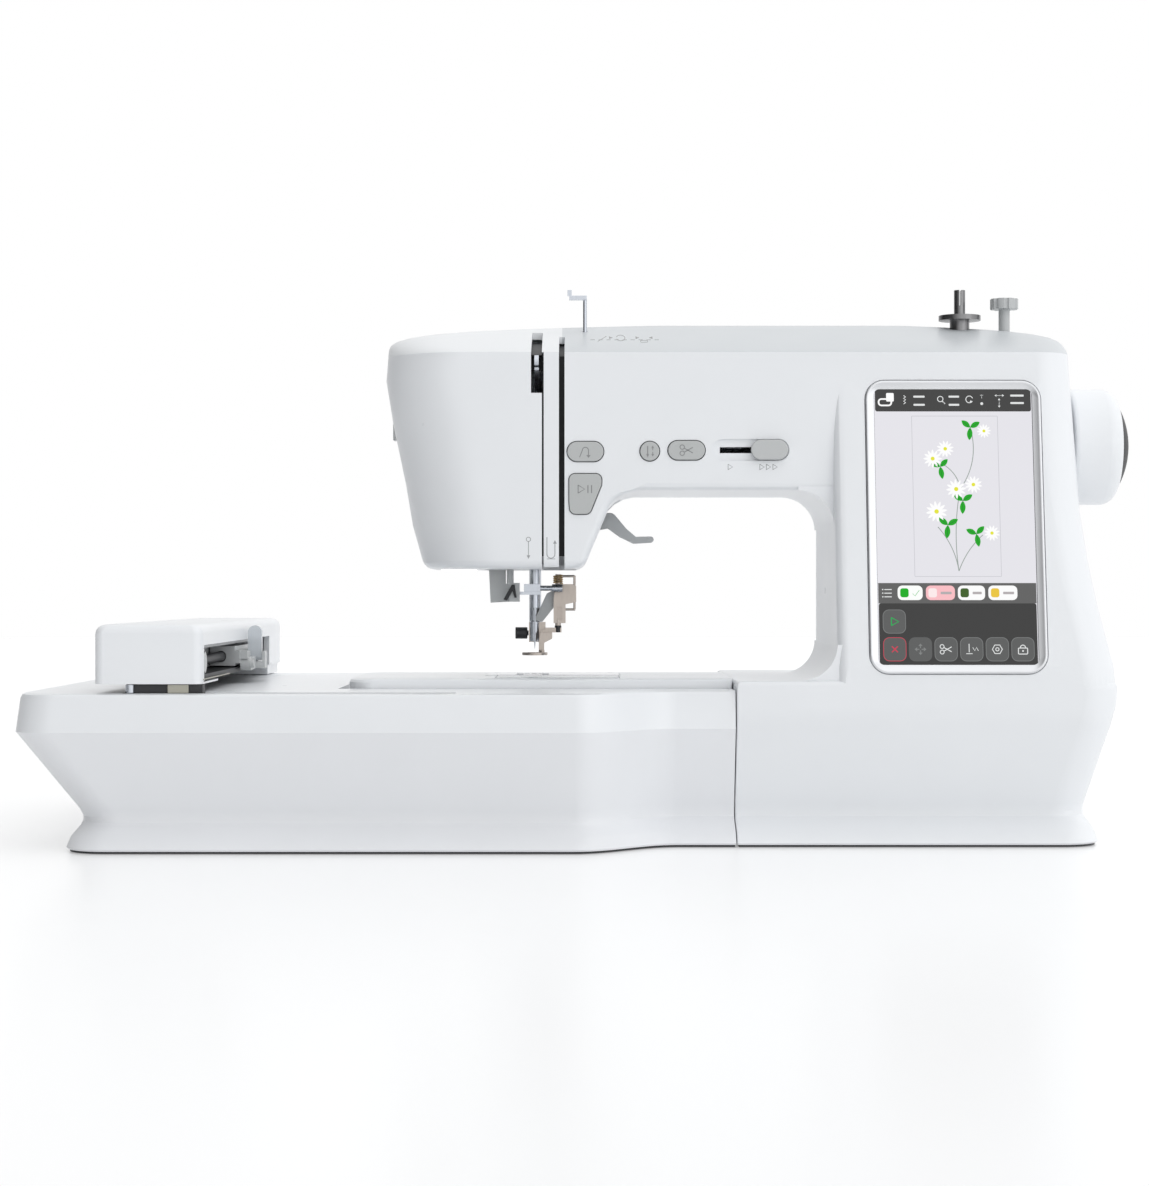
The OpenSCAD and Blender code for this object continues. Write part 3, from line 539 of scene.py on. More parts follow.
# %% [markdown]
# ## The touch screen's picture
# The screen leans back. Its plane comes from the glass itself: the lowest front edge and the highest one
# give the slope, so the picture cannot drift off it. The picture is a status bar, a page with a spray of
# daisies inside a hoop outline, four thread colours and a row of keys, all of this lesson's own drawing.

# %% The leaning plane of the glass
glass = np.array([v.co for v in frame["nodes"]["display_glass"].data.vertices]) / MM
glass_mid = (glass[:, 0].min() + glass[:, 0].max()) / 2
front_foot = glass[glass[:, 1] < glass[:, 1].min() + 0.3]
foot = front_foot[:, 1:].min(0)
crown = np.array([glass[glass[:, 2] > glass[:, 2].max() - 0.4][:, 1].min(), glass[:, 2].max()])
slope = (crown - foot) / np.linalg.norm(crown - foot)
middle = (crown + foot) / 2
SCREEN_W, SCREEN_H = 86.6, 154.0


def on_glass(u, v, h):
    """u and v run from the picture's lower left corner; the slope turns v and h into depth and height."""
    along = v - SCREEN_H / 2
    y = middle[0] + along * slope[0] - h * slope[1]
    z = middle[1] + along * slope[1] + h * slope[0]
    return np.column_stack([glass_mid + u - SCREEN_W / 2, y, z])


print("screen slope", np.round(slope, 3), "middle", np.round(middle, 1))

# %% [markdown]
# ### Flowers, leaves and stems
# A daisy is a ring of narrow petals: an ellipse repeated round the centre, each turned by an equal angle.
# A leaf is two arcs that meet in points, and a stem is a quadratic curve between two places.

# %% Drawing the spray
WHITE, YELLOW = ink(252, 252, 252), ink(226, 226, 60)
LEAF, DARK_LEAF, STEM = ink(30, 164, 34), ink(16, 120, 40), ink(150, 160, 154)


def turned(loop, angle, at):
    """A loop turned about the origin by an angle in degrees and moved to a place."""
    a = math.radians(angle)
    return np.asarray(loop) @ np.array([[math.cos(a), math.sin(a)], [-math.sin(a), math.cos(a)]]) + at


def leaf_loop(length, width, n=8):
    """Half width is width / 2 * sin(pi t) ** 0.8 at a share t of the length."""
    t = np.linspace(0, 1, n + 1)
    half = width / 2 * np.sin(np.pi * t) ** 0.8
    return np.vstack([np.column_stack([t * length, -half]), np.column_stack([t * length, half])[-2:0:-1]])


def daisy(page, at, size, lean=0.0, petals=12):
    for i in range(petals):
        angle = lean + 360 * i / petals
        page.fill(turned(leaf_loop(size, size * 0.30) + [size * 0.14, 0], angle, at), WHITE, 5 + i % 2)
    page.fill(arc(at[0], at[1], size * 0.24, n=14), YELLOW, 7)


def trefoil(page, at, size, lean):
    for turn, share in ((-125, 0.85), (0, 1.0), (125, 0.85)):
        page.fill(turned(leaf_loop(size * share, size * 0.42), lean + turn, at), LEAF, 4)
        page.line(*at, *turned([(size * share * 0.8, 0)], lean + turn, at)[0], 0.25, DARK_LEAF, 5)


def stem(page, a, b, bow):
    """A quadratic curve from a to b whose middle is pushed sideways by bow."""
    a, b = np.array(a, float), np.array(b, float)
    t = np.linspace(0, 1, 15)[:, None]
    across = np.array([a[1] - b[1], b[0] - a[0]])
    knee = (a + b) / 2 + across / np.linalg.norm(across) * bow
    page.stroke((1 - t) ** 2 * a + 2 * t * (1 - t) * knee + t ** 2 * b, 0.45, STEM, 3)


def spray(page):
    root = (44.5, 52.0)
    for tip, bow in (((46.5, 99), 4), ((33.5, 76.5), -4), ((58, 72), 3)):
        stem(page, root, tip, bow)
    for start, tip, bow in (((46.6, 98), (53, 130), -7), ((46.6, 96), (36, 112), -5)):
        stem(page, start, tip, bow)
    for at, size, lean in (((31.5, 114.5), 4.6, 0), ((38.5, 120), 4.2, 12), ((44, 97.5), 4.9, 4),
                           ((53.5, 100), 4.3, 20), ((33, 85), 5.2, 8), ((63, 73), 3.9, 15),
                           ((60, 130), 3.5, 5)):
        daisy(page, at, size, lean)
    for at, size, lean in (((35.5, 110), 7, -80), ((47.5, 91), 7.4, -92), ((39, 77.5), 7.6, -95),
                           ((54.5, 72.5), 7.2, -80), ((52.5, 132), 7.2, -95)):
        trefoil(page, at, size, lean)


# %% [markdown]
# ### Status bar, thread colours and keys
# Icons are a few strokes each, in millimetres on the glass, so they stay as sharp as the rest in a close
# view. Short bars take the place of figures.

# %% Drawing the controls
BAR, ROW, KEYS = ink(66, 66, 66), ink(96, 96, 96), ink(62, 62, 62)
PAGE, PAGE_EDGE, PALE, KEY = ink(227, 226, 232), ink(196, 196, 202), ink(226, 228, 228), ink(92, 93, 93)


def scissors(page, at, size, colour, width, level):
    """Two straight blades that cross, each ending in a ring."""
    for s in (-1, 1):
        tip = turned([(size, 0.45 * size * s)], 0, at)[0]
        heel = turned([(-0.35 * size, -0.30 * size * s)], 0, at)[0]
        page.line(*heel, *tip, width, colour, level)
        ring = arc(at[0] - 0.72 * size, at[1] - 0.5 * size * s, 0.36 * size, n=14)
        page.stroke(ring, width, colour, level, closed=True)


def status_bar(page):
    top = SCREEN_H
    page.fill(rounded(0.4, SCREEN_W - 0.4, top - 13, top - 0.4, 1.2), BAR, 2)
    page.stroke(rounded(2.4, 9.4, top - 9.6, top - 6, 1.6), 0.9, WHITE, 4, closed=True)
    page.fill(rounded(6.6, 10.8, top - 7.4, top - 2.6, 0.6), WHITE, 5)
    zigzag = np.column_stack([16.2 + 1.1 * (np.arange(7) % 2), top - 4 - np.arange(7) * 0.8])
    page.stroke(zigzag, 0.5, PALE, 3)
    for u, length in ((21.6, 6.2), (41, 5.8)):
        page.bars(u, top - 5.2, length, PALE, gap=4.6)
    page.stroke(arc(36.4, top - 6, 1.5), 0.45, PALE, 3, closed=True)
    page.line(37.5, top - 7.2, 39, top - 8.7, 0.6, PALE)
    page.stroke(arc(52.4, top - 6.2, 1.9, 20, 330), 0.45, PALE, 3)
    page.fill(arc(53.2, top - 7.4, 0.55, n=10), PALE, 4)
    page.line(58.4, top - 3.8, 60, top - 3.8, 0.4, PALE)
    page.line(59.2, top - 3.8, 59.2, top - 5.6, 0.4, PALE)
    page.fill(arc(59.2, top - 8.6, 0.8, n=12), PALE, 3)
    page.line(67, top - 4, 71, top - 4, 0.4, PALE)
    page.line(68.8, top - 6.4, 68.8, top - 10, 0.4, PALE)
    for u, v, turn in ((67, 4, 180), (71, 4, 0), (68.8, 6.2, 90), (68.8, 10.2, -90)):
        page.fill(turned([(0.6, 0), (-0.4, 0.7), (-0.4, -0.7)], turn, (u, top - v)), PALE, 4)
    page.bars(75, top - 4.6, 7.4, PALE, gap=4.2)


def thread_row(page, v0=34.2, v1=45.4):
    page.fill([(0.3, v0), (SCREEN_W - 0.3, v0), (SCREEN_W - 0.3, v1), (0.3, v1)], ROW, 2)
    for i in range(3):
        v = v1 - 3.6 - 2 * i
        page.line(3.6, v, 7.6, v, 0.5, PALE, 4)
        page.fill(arc(2.7, v, 0.4, n=8), PALE, 4)
    pills = ((10.8, 24.4, ink(250, 252, 250), ink(22, 170, 32)),
             (26.2, 42, ink(248, 188, 194), ink(250, 232, 232)),
             (43.6, 58.4, ink(250, 250, 250), ink(62, 94, 38)),
             (60.2, 76, ink(250, 250, 250), ink(232, 194, 60)))
    for i, (u0, u1, pill, swatch) in enumerate(pills):
        page.fill(rounded(u0, u1, v0 + 1.8, v1 - 1.4, 2.6), pill, 3)
        page.fill(rounded(u0 + 1.4, u0 + 6, v0 + 3.3, v1 - 2.9, 1.3), swatch, 4)
        if i:
            page.fill(rounded(u0 + 8, u1 - 1.8, v0 + 5, v0 + 6.4, 0.4), ink(176, 170, 172), 4)
    page.stroke([(19, 39.6), (20.2, 38.2), (22.6, 41.4)], 0.35, ink(120, 200, 130), 4)


def key_row(page):
    page.fill(rounded(0.4, SCREEN_W - 0.4, 0.4, 34.2, 1.2), KEYS, 2)
    red, green, dim = ink(206, 62, 84), ink(34, 172, 84), ink(128, 130, 130)
    places = [(2.4, 17.6)] + [(2.4 + 13.9 * i, 2.4) for i in range(6)]
    for i, (u, v) in enumerate(places):
        page.fill(rounded(u, u + 12.6, v, v + 13.2, 3.4), KEY, 3)
        if i != 2:
            edge = red if i == 1 else ink(122, 124, 124)
            page.stroke(rounded(u + 0.2, u + 12.4, v + 0.2, v + 13, 3.3), 0.3, edge, 4, closed=True)
    mid = [(u + 6.3, v + 6.6) for u, v in places]
    page.stroke(np.array([(-1.6, 2.2), (2.4, 0), (-1.6, -2.2)]) + mid[0], 0.55, green, 5)
    page.line(mid[0][0] - 1.6, mid[0][1] - 2.2, mid[0][0] - 1.6, mid[0][1] + 2.2, 0.55, green, 5)
    for s in (-1, 1):
        page.line(mid[1][0] - 1.6, mid[1][1] - 1.6 * s, mid[1][0] + 1.6, mid[1][1] + 1.6 * s, 0.6, red, 5)
    for turn in range(0, 360, 90):
        page.fill(turned([(3.2, 0), (1.8, 1.1), (1.8, -1.1)], turn, mid[2]), dim, 5)
        page.fill(turned([(0.6, 0.25), (0.6, -0.25), (1.9, -0.25), (1.9, 0.25)], turn, mid[2]), dim, 5)
    scissors(page, mid[3], 3.0, PALE, 0.45, 5)
    u, v = mid[4]
    page.line(u - 1.4, v + 3, u - 1.4, v - 1.6, 0.45, PALE, 5)
    page.line(u - 3, v - 2.4, u + 0.4, v - 2.4, 0.4, PALE, 5)
    page.stroke([(u + 0.6, v + 1), (u + 1.6, v - 0.8), (u + 2.6, v + 1), (u + 3.6, v - 0.8)], 0.35, PALE, 5)
    page.stroke(arc(*mid[5], 2.7, 0, 360, 6), 0.5, PALE, 5, closed=True)
    page.stroke(arc(*mid[5], 0.9, n=12), 0.45, PALE, 5, closed=True)
    u, v = mid[6]
    page.stroke(rounded(u - 2.5, u + 2.5, v - 2.6, v + 0.7, 0.5), 0.5, PALE, 5, closed=True)
    page.stroke(arc(u, v + 0.9, 1.4, 0, 180, 10), 0.5, PALE, 5)
    page.fill(arc(u, v - 0.9, 0.5, n=10), PALE, 5)


# %% The lit picture
def screen_picture():
    page = Inlay(on_glass)
    page.fill(rounded(0, SCREEN_W, 0, SCREEN_H, 1.4), PAGE, 1)
    page.stroke(rounded(20.4, 67.6, 49, 138.4, 0.3, 2), 0.3, PAGE_EDGE, 2, closed=True)
    spray(page)
    status_bar(page)
    thread_row(page)
    key_row(page)
    return page.piece("screen_picture", lit_ink, "machine", "screen_glass")


screen_picture()

# %% [markdown]
# ## Bezel
# The silver frame round the glass is one closed ring. Its section is carried round the screen: outer
# wall, a narrow flat rim, then a long slope down to the glass. The corner radius shrinks from the outer
# edge to the inner one, so the slope turns the corner as a pressed frame does.

# %% A ring of changing section
def frame_ring(name, surface, w, h, section, material, body, replaced):
    """section rows: (inset from the outer edge, corner radius, height). Every row is a rounded
    rectangle of the same number of points, so neighbouring rows join into a grid that closes on itself."""
    rows = []
    for inset, r, height in section:
        loop = rounded(inset, w - inset, inset, h - inset, r, 9)
        rows.append(surface(loop[:, 0] + (SCREEN_W - w) / 2, loop[:, 1] + (SCREEN_H - h) / 2, height))
    grid = np.stack(rows)
    m, n = grid.shape[:2]
    i, j = np.meshgrid(np.arange(m), np.arange(n), indexing="ij")
    at = lambda a, b: (a % m) * n + b % n
    faces = np.stack([at(i, j), at(i, j + 1), at(i + 1, j + 1), at(i + 1, j)], -1).reshape(-1, 4)
    mesh = bpy.data.meshes.new(name)
    mesh.from_pydata(grid.reshape(-1, 3) * MM, [], faces.tolist())
    mesh.polygons.foreach_set("use_smooth", np.ones(len(faces), bool))
    piece = join_scene(name, mesh, material, body)
    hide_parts(replaced)
    return piece


bezel_low, bezel_high = [np.array(v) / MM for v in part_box("display_bezel")]
bezel_w = bezel_high[0] - bezel_low[0]
bezel_h = SCREEN_H + 9
bezel_section = [
    (0.0, 10.6, -6.5), (0.0, 10.6, 0.2), (0.12, 10.5, 0.6), (0.5, 10.2, 0.95), (1.0, 9.8, 1.05),
    (1.5, 9.2, 1.0), (1.8, 8.6, 0.85), (4.7, 3.6, 0.12), (5.0, 3.0, 0.06), (5.0, 3.0, -0.1),
    (2.9, 6.0, -0.1), (2.9, 6.0, -6.5),
]
frame_ring("screen_bezel", on_glass, bezel_w, bezel_h, bezel_section, silver_trim, "machine",
           "display_bezel")

# %% [markdown]
# ## Printed guides
# Keys and covers carry small grey pictures that say what they do. They are printed in ink that is a few
# hundredths of a millimetre thick, on the front plane of their own node, and ride on the same body.

# %% Pictures on the keys
GREY_INK, DIM_INK = ink(140, 141, 142), ink(160, 162, 164)


def middle_of(node):
    low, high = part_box(node)
    return (low.x + high.x) / 2 / MM, (low.z + high.z) / 2 / MM


def loop_arrow(page, u, v):
    page.stroke(np.vstack([[(u - 3.2, v - 3.2)], arc(u, v + 0.6, 1.7, 180, 0, 12), [(u + 1.7, v - 2.6)]]),
                0.5, GREY_INK)
    page.fill([(u + 0.5, v - 2), (u + 1.7, v - 3.6), (u + 2.9, v - 2)], GREY_INK, 3)


def play_and_pause(page, u, v):
    page.stroke([(u - 4, v + 2.2), (u - 0.4, v), (u - 4, v - 2.2)], 0.5, GREY_INK)
    page.line(u - 4, v - 2.3, u - 4, v + 2.3, 0.5, GREY_INK)
    for du in (1.4, 3.4):
        page.line(u + du, v - 2.2, u + du, v + 2.2, 0.6, GREY_INK)


def needle_sign(page, u, v):
    page.line(u - 1.2, v + 2.8, u - 1.2, v - 2.8, 0.6, GREY_INK)
    page.fill([(u - 2, v - 1.6), (u - 1.2, v - 3.6), (u - 0.4, v - 1.6)], GREY_INK, 3)
    for way in (1, -1):
        page.line(u + 1.6, v + 0.4 * way, u + 1.6, v + 2 * way, 0.45, GREY_INK)
        head = [(u + 0.8, v + 1.6 * way), (u + 2.4, v + 1.6 * way), (u + 1.6, v + 3 * way)]
        page.fill(head if way > 0 else head[::-1], GREY_INK, 3)


def key_pictures():
    for node, draw in (("reverse_button", loop_arrow), ("start_button", play_and_pause),
                       ("needle_button", needle_sign),
                       ("trim_button", lambda page, u, v: scissors(page, (u, v), 3.4, GREY_INK, 0.5, 2))):
        page = Inlay(front_face(node))
        u, v = middle_of(node)
        draw(page, u, v + (2.6 if node == "start_button" else 0))
        page.piece(node + "_picture", print_ink, body_of[node], slot_of[node])


key_pictures()


# %% Speed marks and threading guides
def speed_marks(page, u, v):
    for du in (-22.7, -5.2, -1.6, 2.0):
        page.stroke(np.array([(u + du, v + 1.5), (u + du + 2.5, v), (u + du, v - 1.5)]), 0.35, DIM_INK)
        page.line(u + du, v - 1.6, u + du, v + 1.6, 0.35, DIM_INK)


def front_of_arm():
    """The arm's flat front, read from the reverse key, which stands 1.2 mm proud of it."""
    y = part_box("reverse_button")[0].y / MM + 1.2
    return lambda u, v, h: np.column_stack([u, np.full_like(u, y - h), v])


def arm_prints():
    page = Inlay(front_of_arm(), sunk=0.05)
    knob_u, knob_v = middle_of("speed_knob")
    speed_marks(page, knob_u, knob_v - 9.4)
    u, v = middle_of("thread_guide_strip")[0], 162.0
    page.stroke(arc(u - 12.6, v + 5.2, 1.2, n=12), 0.4, DIM_INK, 2, closed=True)
    page.line(u - 12.6, v + 4, u - 12.6, v - 4.4, 0.4, DIM_INK)
    page.fill([(u - 13.6, v - 3.6), (u - 12.6, v - 5.6), (u - 11.6, v - 3.6)], DIM_INK, 3)
    hook = np.vstack([[(u - 2.4, v + 6.4)], arc(u - 0.2, v - 3, 2.2, 180, 360, 12), [(u + 2.0, v + 3.4)]])
    page.stroke(hook, 0.45, DIM_INK)
    page.fill([(u + 1, v + 2.8), (u + 3, v + 2.8), (u + 2, v + 4.8)], DIM_INK, 3)
    page.line(u - 2.4, v - 5.6, u + 2.2, v - 5.6, 0.35, DIM_INK)
    page.piece("arm_prints", print_ink, "machine", "white_shell")


arm_prints()

# %% [markdown]
# ### Thread path on the roof
# The bevel of the roof is curved, so this print needs a curved face: height rises with a share k of the
# roof, and depth with k to the power 1.15, which is the rule that the cover itself follows.

# %% Prints on the bevel
roof_low, roof_high = [np.array(v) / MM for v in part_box("top_cover")]
ROOF_RISE, ROOF_POWER, BEVEL_DEPTH = roof_high[2] - roof_low[2], 1.15, 70


def on_bevel(u, v, h):
    """v is the height above the crease; the outward push h is shared by height and depth."""
    k = np.clip(v / ROOF_RISE, 0.001, 1)
    y = roof_low[1] + BEVEL_DEPTH * k ** ROOF_POWER
    return np.column_stack([u, y - 0.35 * h, roof_low[2] + v + 0.94 * h])


def roof_prints():
    page = Inlay(on_bevel, step=0.03, sunk=0.15)
    for u in np.arange(0, 38, 4.5):
        page.line(u, 9.4, u + 2.4, 9.4, 0.35, GREY_INK)
    page.stroke(arc(17, 11, 2.4, 200, 520, 20), 0.4, GREY_INK)
    page.line(4, 8, 9, 12.4, 0.35, GREY_INK)
    for u, way in ((10.5, 1), (25.5, 1), (35, -1)):
        page.fill([(u, 10.2), (u + 2 * way, 11.2), (u, 12.2)][::way], GREY_INK, 3)
    page.stroke(rounded(28, 32, 7.4, 9, 0.6, 3), 0.3, GREY_INK, 2, closed=True)
    page.piece("roof_prints", print_ink, "machine", "white_shell")


roof_prints()

# %% [markdown]
# ## Small fittings
# Many small things on the machine are bars, wires, turned pegs and cut plates: trims in the arm's slot,
# the hook of the threader, and the painted shadow under the base. A `Part` collects such shapes into one
# closed mesh.
# Each shape is a stack of rings of points, so one method joins them all.

# %% Stacks of rings
class Part:
    """Closed shapes in mm. Each is rows of rings; a ring runs anticlockwise seen from the row above it."""

    def __init__(self):
        self.points, self.faces, self.count = [], [], 0

    def stack(self, rows):
        rows = np.asarray(rows, float)
        m, n = rows.shape[:2]
        i, j = np.meshgrid(np.arange(m - 1), np.arange(n), indexing="ij")
        a, b = self.count + i * n + j, self.count + i * n + (j + 1) % n
        self.faces += np.stack([a, b, b + n, a + n], -1).reshape(-1, 4).tolist()
        ring = np.arange(n)
        self.faces += [(self.count + ring[::-1]).tolist(), (self.count + (m - 1) * n + ring).tolist()]
        self.points.append(rows.reshape(-1, 3))
        self.count += m * n
        return self

    def bar(self, low, high, r):
        """Rounded rectangles carried along the longest side and drawn in by r at both ends."""
        low, high = np.array(low, float), np.array(high, float)
        way = int(np.argmax(high - low))
        u, v = (way + 1) % 3, (way + 2) % 3
        rows = []
        for at, inset in ((low[way], r * 0.8), (low[way] + r, 0), (high[way] - r, 0), (high[way], r * 0.8)):
            loop = rounded(low[u] + inset, high[u] - inset, low[v] + inset, high[v] - inset, r, 3)
            ring = np.empty((len(loop), 3))
            ring[:, way], ring[:, u], ring[:, v] = at, loop[:, 0], loop[:, 1]
            rows.append(ring)
        return self.stack(rows)

    def turn(self, profile, at, axis=2, n=28):
        """A profile of (radius, distance along the axis) carried round that axis through a place."""
        u, v = (axis + 1) % 3, (axis + 2) % 3
        circle = arc(0, 0, 1, n=n)
        rows = []
        for radius, along in profile:
            ring = np.empty((n, 3))
            ring[:, u], ring[:, v] = at[u] + radius * circle[:, 0], at[v] + radius * circle[:, 1]
            ring[:, axis] = at[axis] + along
            rows.append(ring)
        return self.stack(rows)

    def tube(self, path, r, n=10, side=(0, 1, 0)):
        """A circle of radius r square to the path at each of its points; side is never along the path."""
        path = np.asarray(path, float)
        way = np.gradient(path, axis=0)
        way /= np.linalg.norm(way, axis=1, keepdims=True)
        out = np.array(side) - way * (way @ np.array(side))[:, None]
        out /= np.linalg.norm(out, axis=1, keepdims=True)
        over = np.cross(way, out)
        circle = arc(0, 0, r, n=n)
        rows = path[:, None] + circle[None, :, :1] * out[:, None] + circle[None, :, 1:] * over[:, None]
        return self.stack(rows)

    def plate(self, loop, front, back):
        """An upright outline in X and Z, from its back plane to its front plane."""
        loop = np.asarray(loop, float)
        return self.stack([np.column_stack([loop[:, 0], np.full(len(loop), y), loop[:, 1]])
                           for y in (back, front)])

    def piece(self, name, material, node):
        mesh = bpy.data.meshes.new(name)
        mesh.from_pydata(np.vstack(self.points) * MM, [], self.faces)
        mesh.polygons.foreach_set("use_smooth", np.ones(len(self.faces), bool))
        mesh.set_sharp_from_angle(angle=math.radians(35))
        print(name, len(self.faces), "faces")
        return join_scene(name, mesh, material, body_of[node])


# %% [markdown]
# ### Painted shadow under the covers
# The covers stand a millimetre and a half off the floor. A dark tray just inside each lower edge fills
# the gap with painted shadow, the dark line of shade under the base. Its outline is the cover's own lowest
# rim, drawn in.

# %% Dark trays of painted shadow under the covers
def lowest_rim(node):
    """The outer edge of a node's lowest flat face, followed point to point, in mm and anticlockwise."""
    shape = bmesh.new()
    shape.from_mesh(frame["nodes"][node].data)
    bmesh.ops.remove_doubles(shape, verts=shape.verts, dist=2e-6)
    ground = min(v.co.z for v in shape.verts) + 0.05 * MM
    cap = {f for f in shape.faces if all(v.co.z < ground for v in f.verts)}
    follow = {}
    for face in cap:
        for loop in face.loops:
            if sum(f in cap for f in loop.edge.link_faces) == 1:
                follow[loop.vert] = loop.link_loop_next.vert
    rims = []
    while follow:
        rim = [next(iter(follow))]
        while rim[-1] in follow:
            rim.append(follow.pop(rim[-1]))
        rims.append(np.array([v.co[:2] for v in rim[:-1]]) / MM)
    shape.free()
    widest = max(rims, key=lambda rim: np.ptp(rim, axis=0).sum())
    return widest[::-1]


def painted_shadow_tray(name, node, low=0.35, high=1.45, inset=0.8):
    """The lowest rim moved inwards along its own normal, as a flat dark tray of painted shadow from low to
    high.
    """
    rim = lowest_rim(node)
    way = np.roll(rim, -1, 0) - np.roll(rim, 1, 0)
    way /= np.linalg.norm(way, axis=1, keepdims=True)
    drawn_in = rim + inset * np.column_stack([-way[:, 1], way[:, 0]])
    # painted shadow: a dark slab in the gap under the skirt, where there is only shade
    tray = Part().stack([np.column_stack([drawn_in, np.full(len(rim), z)]) for z in (low, high)])
    return tray.piece(name, dark_plastic, node)


for node, name in (("front_cover", "front_painted_shadow"), ("rear_cover", "rear_painted_shadow"),
                   ("unit_lower_housing", "unit_painted_shadow")):
    painted_shadow_tray(name, node)

# %% [markdown]
# ### Inside the embroidery arm
# Through the slot in the arm's side one sees the rack that the carriage's pinion runs along, a roller at
# the front end and a pale cover strip behind the rail. Under the front end, bright and beige trims sit on
# the dark foot that ties the arm to its drive.

# %% Trims of the embroidery arm
beige_plastic = moulded_plastic("beige_plastic", (0.40, 0.39, 0.33), 0.4)


def arm_trims():
    low, high = [np.array(v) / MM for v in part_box("arm_cover")]
    right, front, back, floor_z = high[0], low[1], high[1], low[2] + 6.3
    foot_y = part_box("arm_rail")[0].y / MM
    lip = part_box("unit_top_cover")[1].z / MM + 0.2
    rail_trim = "arm_rail"
    rack = Part().bar((right - 7, front + 9, floor_z + 19), (right - 4.2, back - 64, floor_z + 20.4), 0.4)
    for y in np.arange(front + 9, back - 66, 3.2):
        rack.bar((right - 6.8, y, floor_z + 16.2), (right - 4.4, y + 1.7, floor_z + 19.2), 0.25)
    rack.piece("arm_rack", cast_metal, rail_trim)
    strip = Part()
    strip.bar((right - 18.8, front + 32, floor_z + 3), (right - 17.8, front + 150, floor_z + 15), 0.4)
    strip.piece("arm_inner_cover", white_plastic, rail_trim)
    roller = [(5.0, -16), (6.3, -15), (6.3, -2.6), (5.6, -1.6), (3.4, -1.2), (2.6, -1.3), (0.2, -1.6)]
    wheel = Part().turn(roller, (right, front + 22, floor_z + 9), axis=0, n=36)
    wheel.piece("arm_roller", grey_plastic, rail_trim)
    sill = Part()
    sill.bar((right - 0.9, front + 4, floor_z + 0.02), (right + 0.2, front + 104, floor_z + 0.64), 0.2)
    sill.piece("arm_slot_trim", beige_plastic, rail_trim)
    trim = Part().bar((right - 18.4, foot_y - 1.2, lip), (right - 7.4, foot_y - 0.05, lip + 4.4), 0.3)
    trim.piece("arm_foot_trim", beige_plastic, rail_trim)
    pin = Part().turn([(1.9, 0), (2.2, 0.3), (2.2, 4.1), (1.9, 4.4)], (right - 38.2, foot_y - 0.2, lip))
    pin.bar((right - 40.6, foot_y - 1.1, lip + 0.6), (right - 40.0, foot_y - 0.05, lip + 3.8), 0.2)
    pin.piece("arm_foot_pin", steel, rail_trim)


arm_trims()

# %% [markdown]
# ### Round the needle
# The threader carries a dark hooked finger, a small coil sits on the foot's lever, and a grey arm guards
# the thread. They are a few millimetres across, but the eye goes straight to this place.

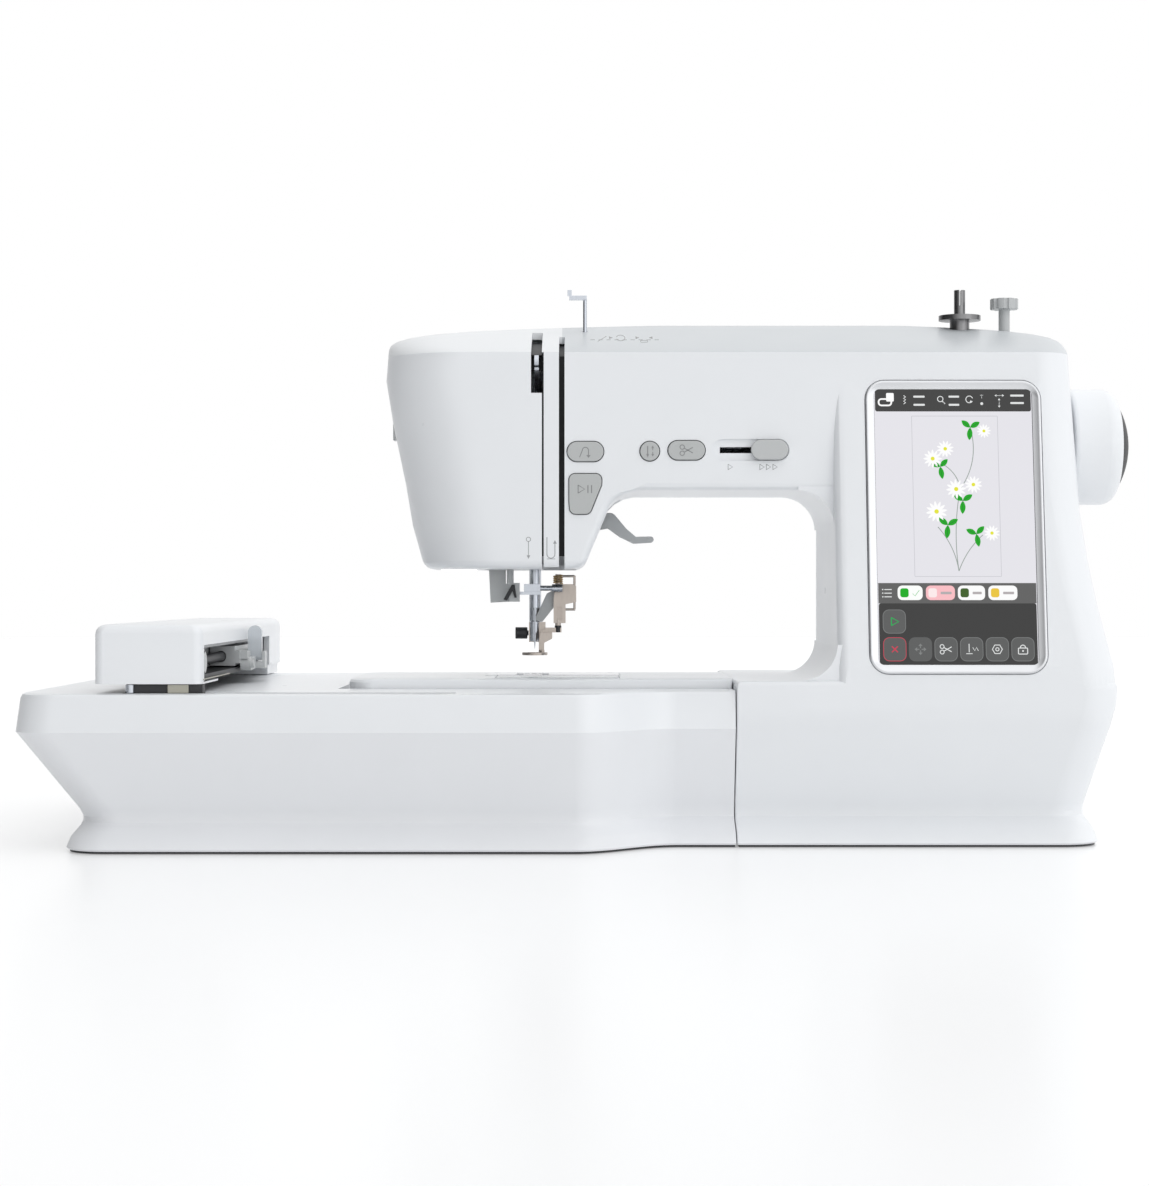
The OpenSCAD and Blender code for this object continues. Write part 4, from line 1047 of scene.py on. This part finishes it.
# %% Fittings round the needle
def needle_fittings():
    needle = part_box("needle")
    x, y = (needle[0].x + needle[1].x) / 2 / MM, (needle[0].y + needle[1].y) / 2 / MM
    hook_front = y - 13.6
    hook = np.array([(-17.8, 134), (-15.8, 133.2), (-12.6, 138.6), (-11.4, 134.8), (-10.2, 135),
                     (-11.4, 142.4), (-13, 142.4)]) + [x, 0]
    Part().plate(hook, hook_front, hook_front + 1.2).piece("threader_hook", dark_plastic, "needle_threader")
    guard = np.array([(-0.3, 122), (4.2, 120.7), (12.2, 130.8), (12.2, 140.2), (6.8, 137.3)]) + [x, 0]
    Part().plate(guard, y + 10.1, y + 10.95).piece("thread_guard", grey_plastic, "embroidery_foot")
    t = np.linspace(0, 4.25, 86)
    lever_x, lever_y = x + 13.4, y + 9.5
    coil = np.column_stack([lever_x + 2.5 * np.cos(2 * np.pi * t), lever_y + 2.5 * np.sin(2 * np.pi * t),
                            143.2 + 1.15 * t])
    Part().tube(coil, 0.45, n=8, side=(0, 0, 1)).piece("foot_spring", bronze, "embroidery_foot")
    Part().turn([(1.5, 0), (1.95, 0.3), (1.95, 3.9), (1.5, 4.2)], (lever_x, lever_y, 114.6)).piece(
        "foot_peg", dark_plastic, "embroidery_foot")
    sleeve = [(2.3, 0), (2.75, 0.4), (2.75, 11.4), (2.2, 12)]
    Part().turn(sleeve, (x - 0.4, y + 11.4, 109.4)).piece("foot_sleeve", steel, "embroidery_foot")


needle_fittings()

# %% [markdown]
# ### Vents
# Warm air from the motor and the board leaves through slots in the back. Each is a dark inlay with round
# ends on the rear cover, in two groups: behind the board, and low down behind the motor.

# %% Vent slots on the back
def rear_vents():
    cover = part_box("rear_cover")[1].y / MM
    for name, y, (u0, u1), (v0, v1) in (("upper_vents", 0.0, (176, 230), (178, 214)),
                                        ("lower_vents", cover, (120, 210), (30, 46))):
        page = Inlay(lambda u, v, h, y=y: np.column_stack([-u, np.full_like(u, y + h), v]), sunk=0.3)
        for u in np.arange(u0, u1, 6.0):
            page.fill(rounded(-u - 1.3, -u + 1.3, v0, v1, 1.25, 4), ink(70, 71, 72), 2)
        page.piece(name, print_ink, "machine", "dark_plastic")


rear_vents()

# %% Prongs in the power inlet
def inlet_prongs():
    low, high = [np.array(v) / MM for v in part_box("power_inlet")]
    prongs = Part()
    for y in (-8.5, -4, 0.5):
        prongs.bar((high[0] - 12.2, y - 0.7, 43.4), (high[0] - 3.4, y + 0.7, 46.6), 0.5)
    prongs.piece("inlet_prongs", steel, "power_inlet")


inlet_prongs()


# %% [markdown]
# ## Floor
# The floor is a plain pale sheet of lit acrylic under the feet. Its own faint glow brings it up to the
# white of the surround, and its gloss mirrors the base softly.

# %% Floor
def floor_finish():
    f = Finish("studio_floor", IOR=1.33, Emission_Color=(1, 1, 1, 1), Emission_Strength=0.27)
    f.drive("Base Color", f.ramp(f.noise(2), around((0.66, 0.665, 0.67), 0.003)))
    f.drive("Roughness", f.noise(4) * 0.04 + 0.24)
    return f.material


floor_mesh = bpy.data.meshes.new("floor")
reach = 6.0  # metres each way, so its edge stays far off
floor_mesh.from_pydata([(-reach, -reach, 0), (reach, -reach, 0), (reach, reach, 0), (-reach, reach, 0)],
                       [], [(0, 1, 2, 3)])
floor_mesh.materials.append(floor_finish())
floor = bpy.data.objects.new("floor", floor_mesh)
scene.collection.objects.link(floor)
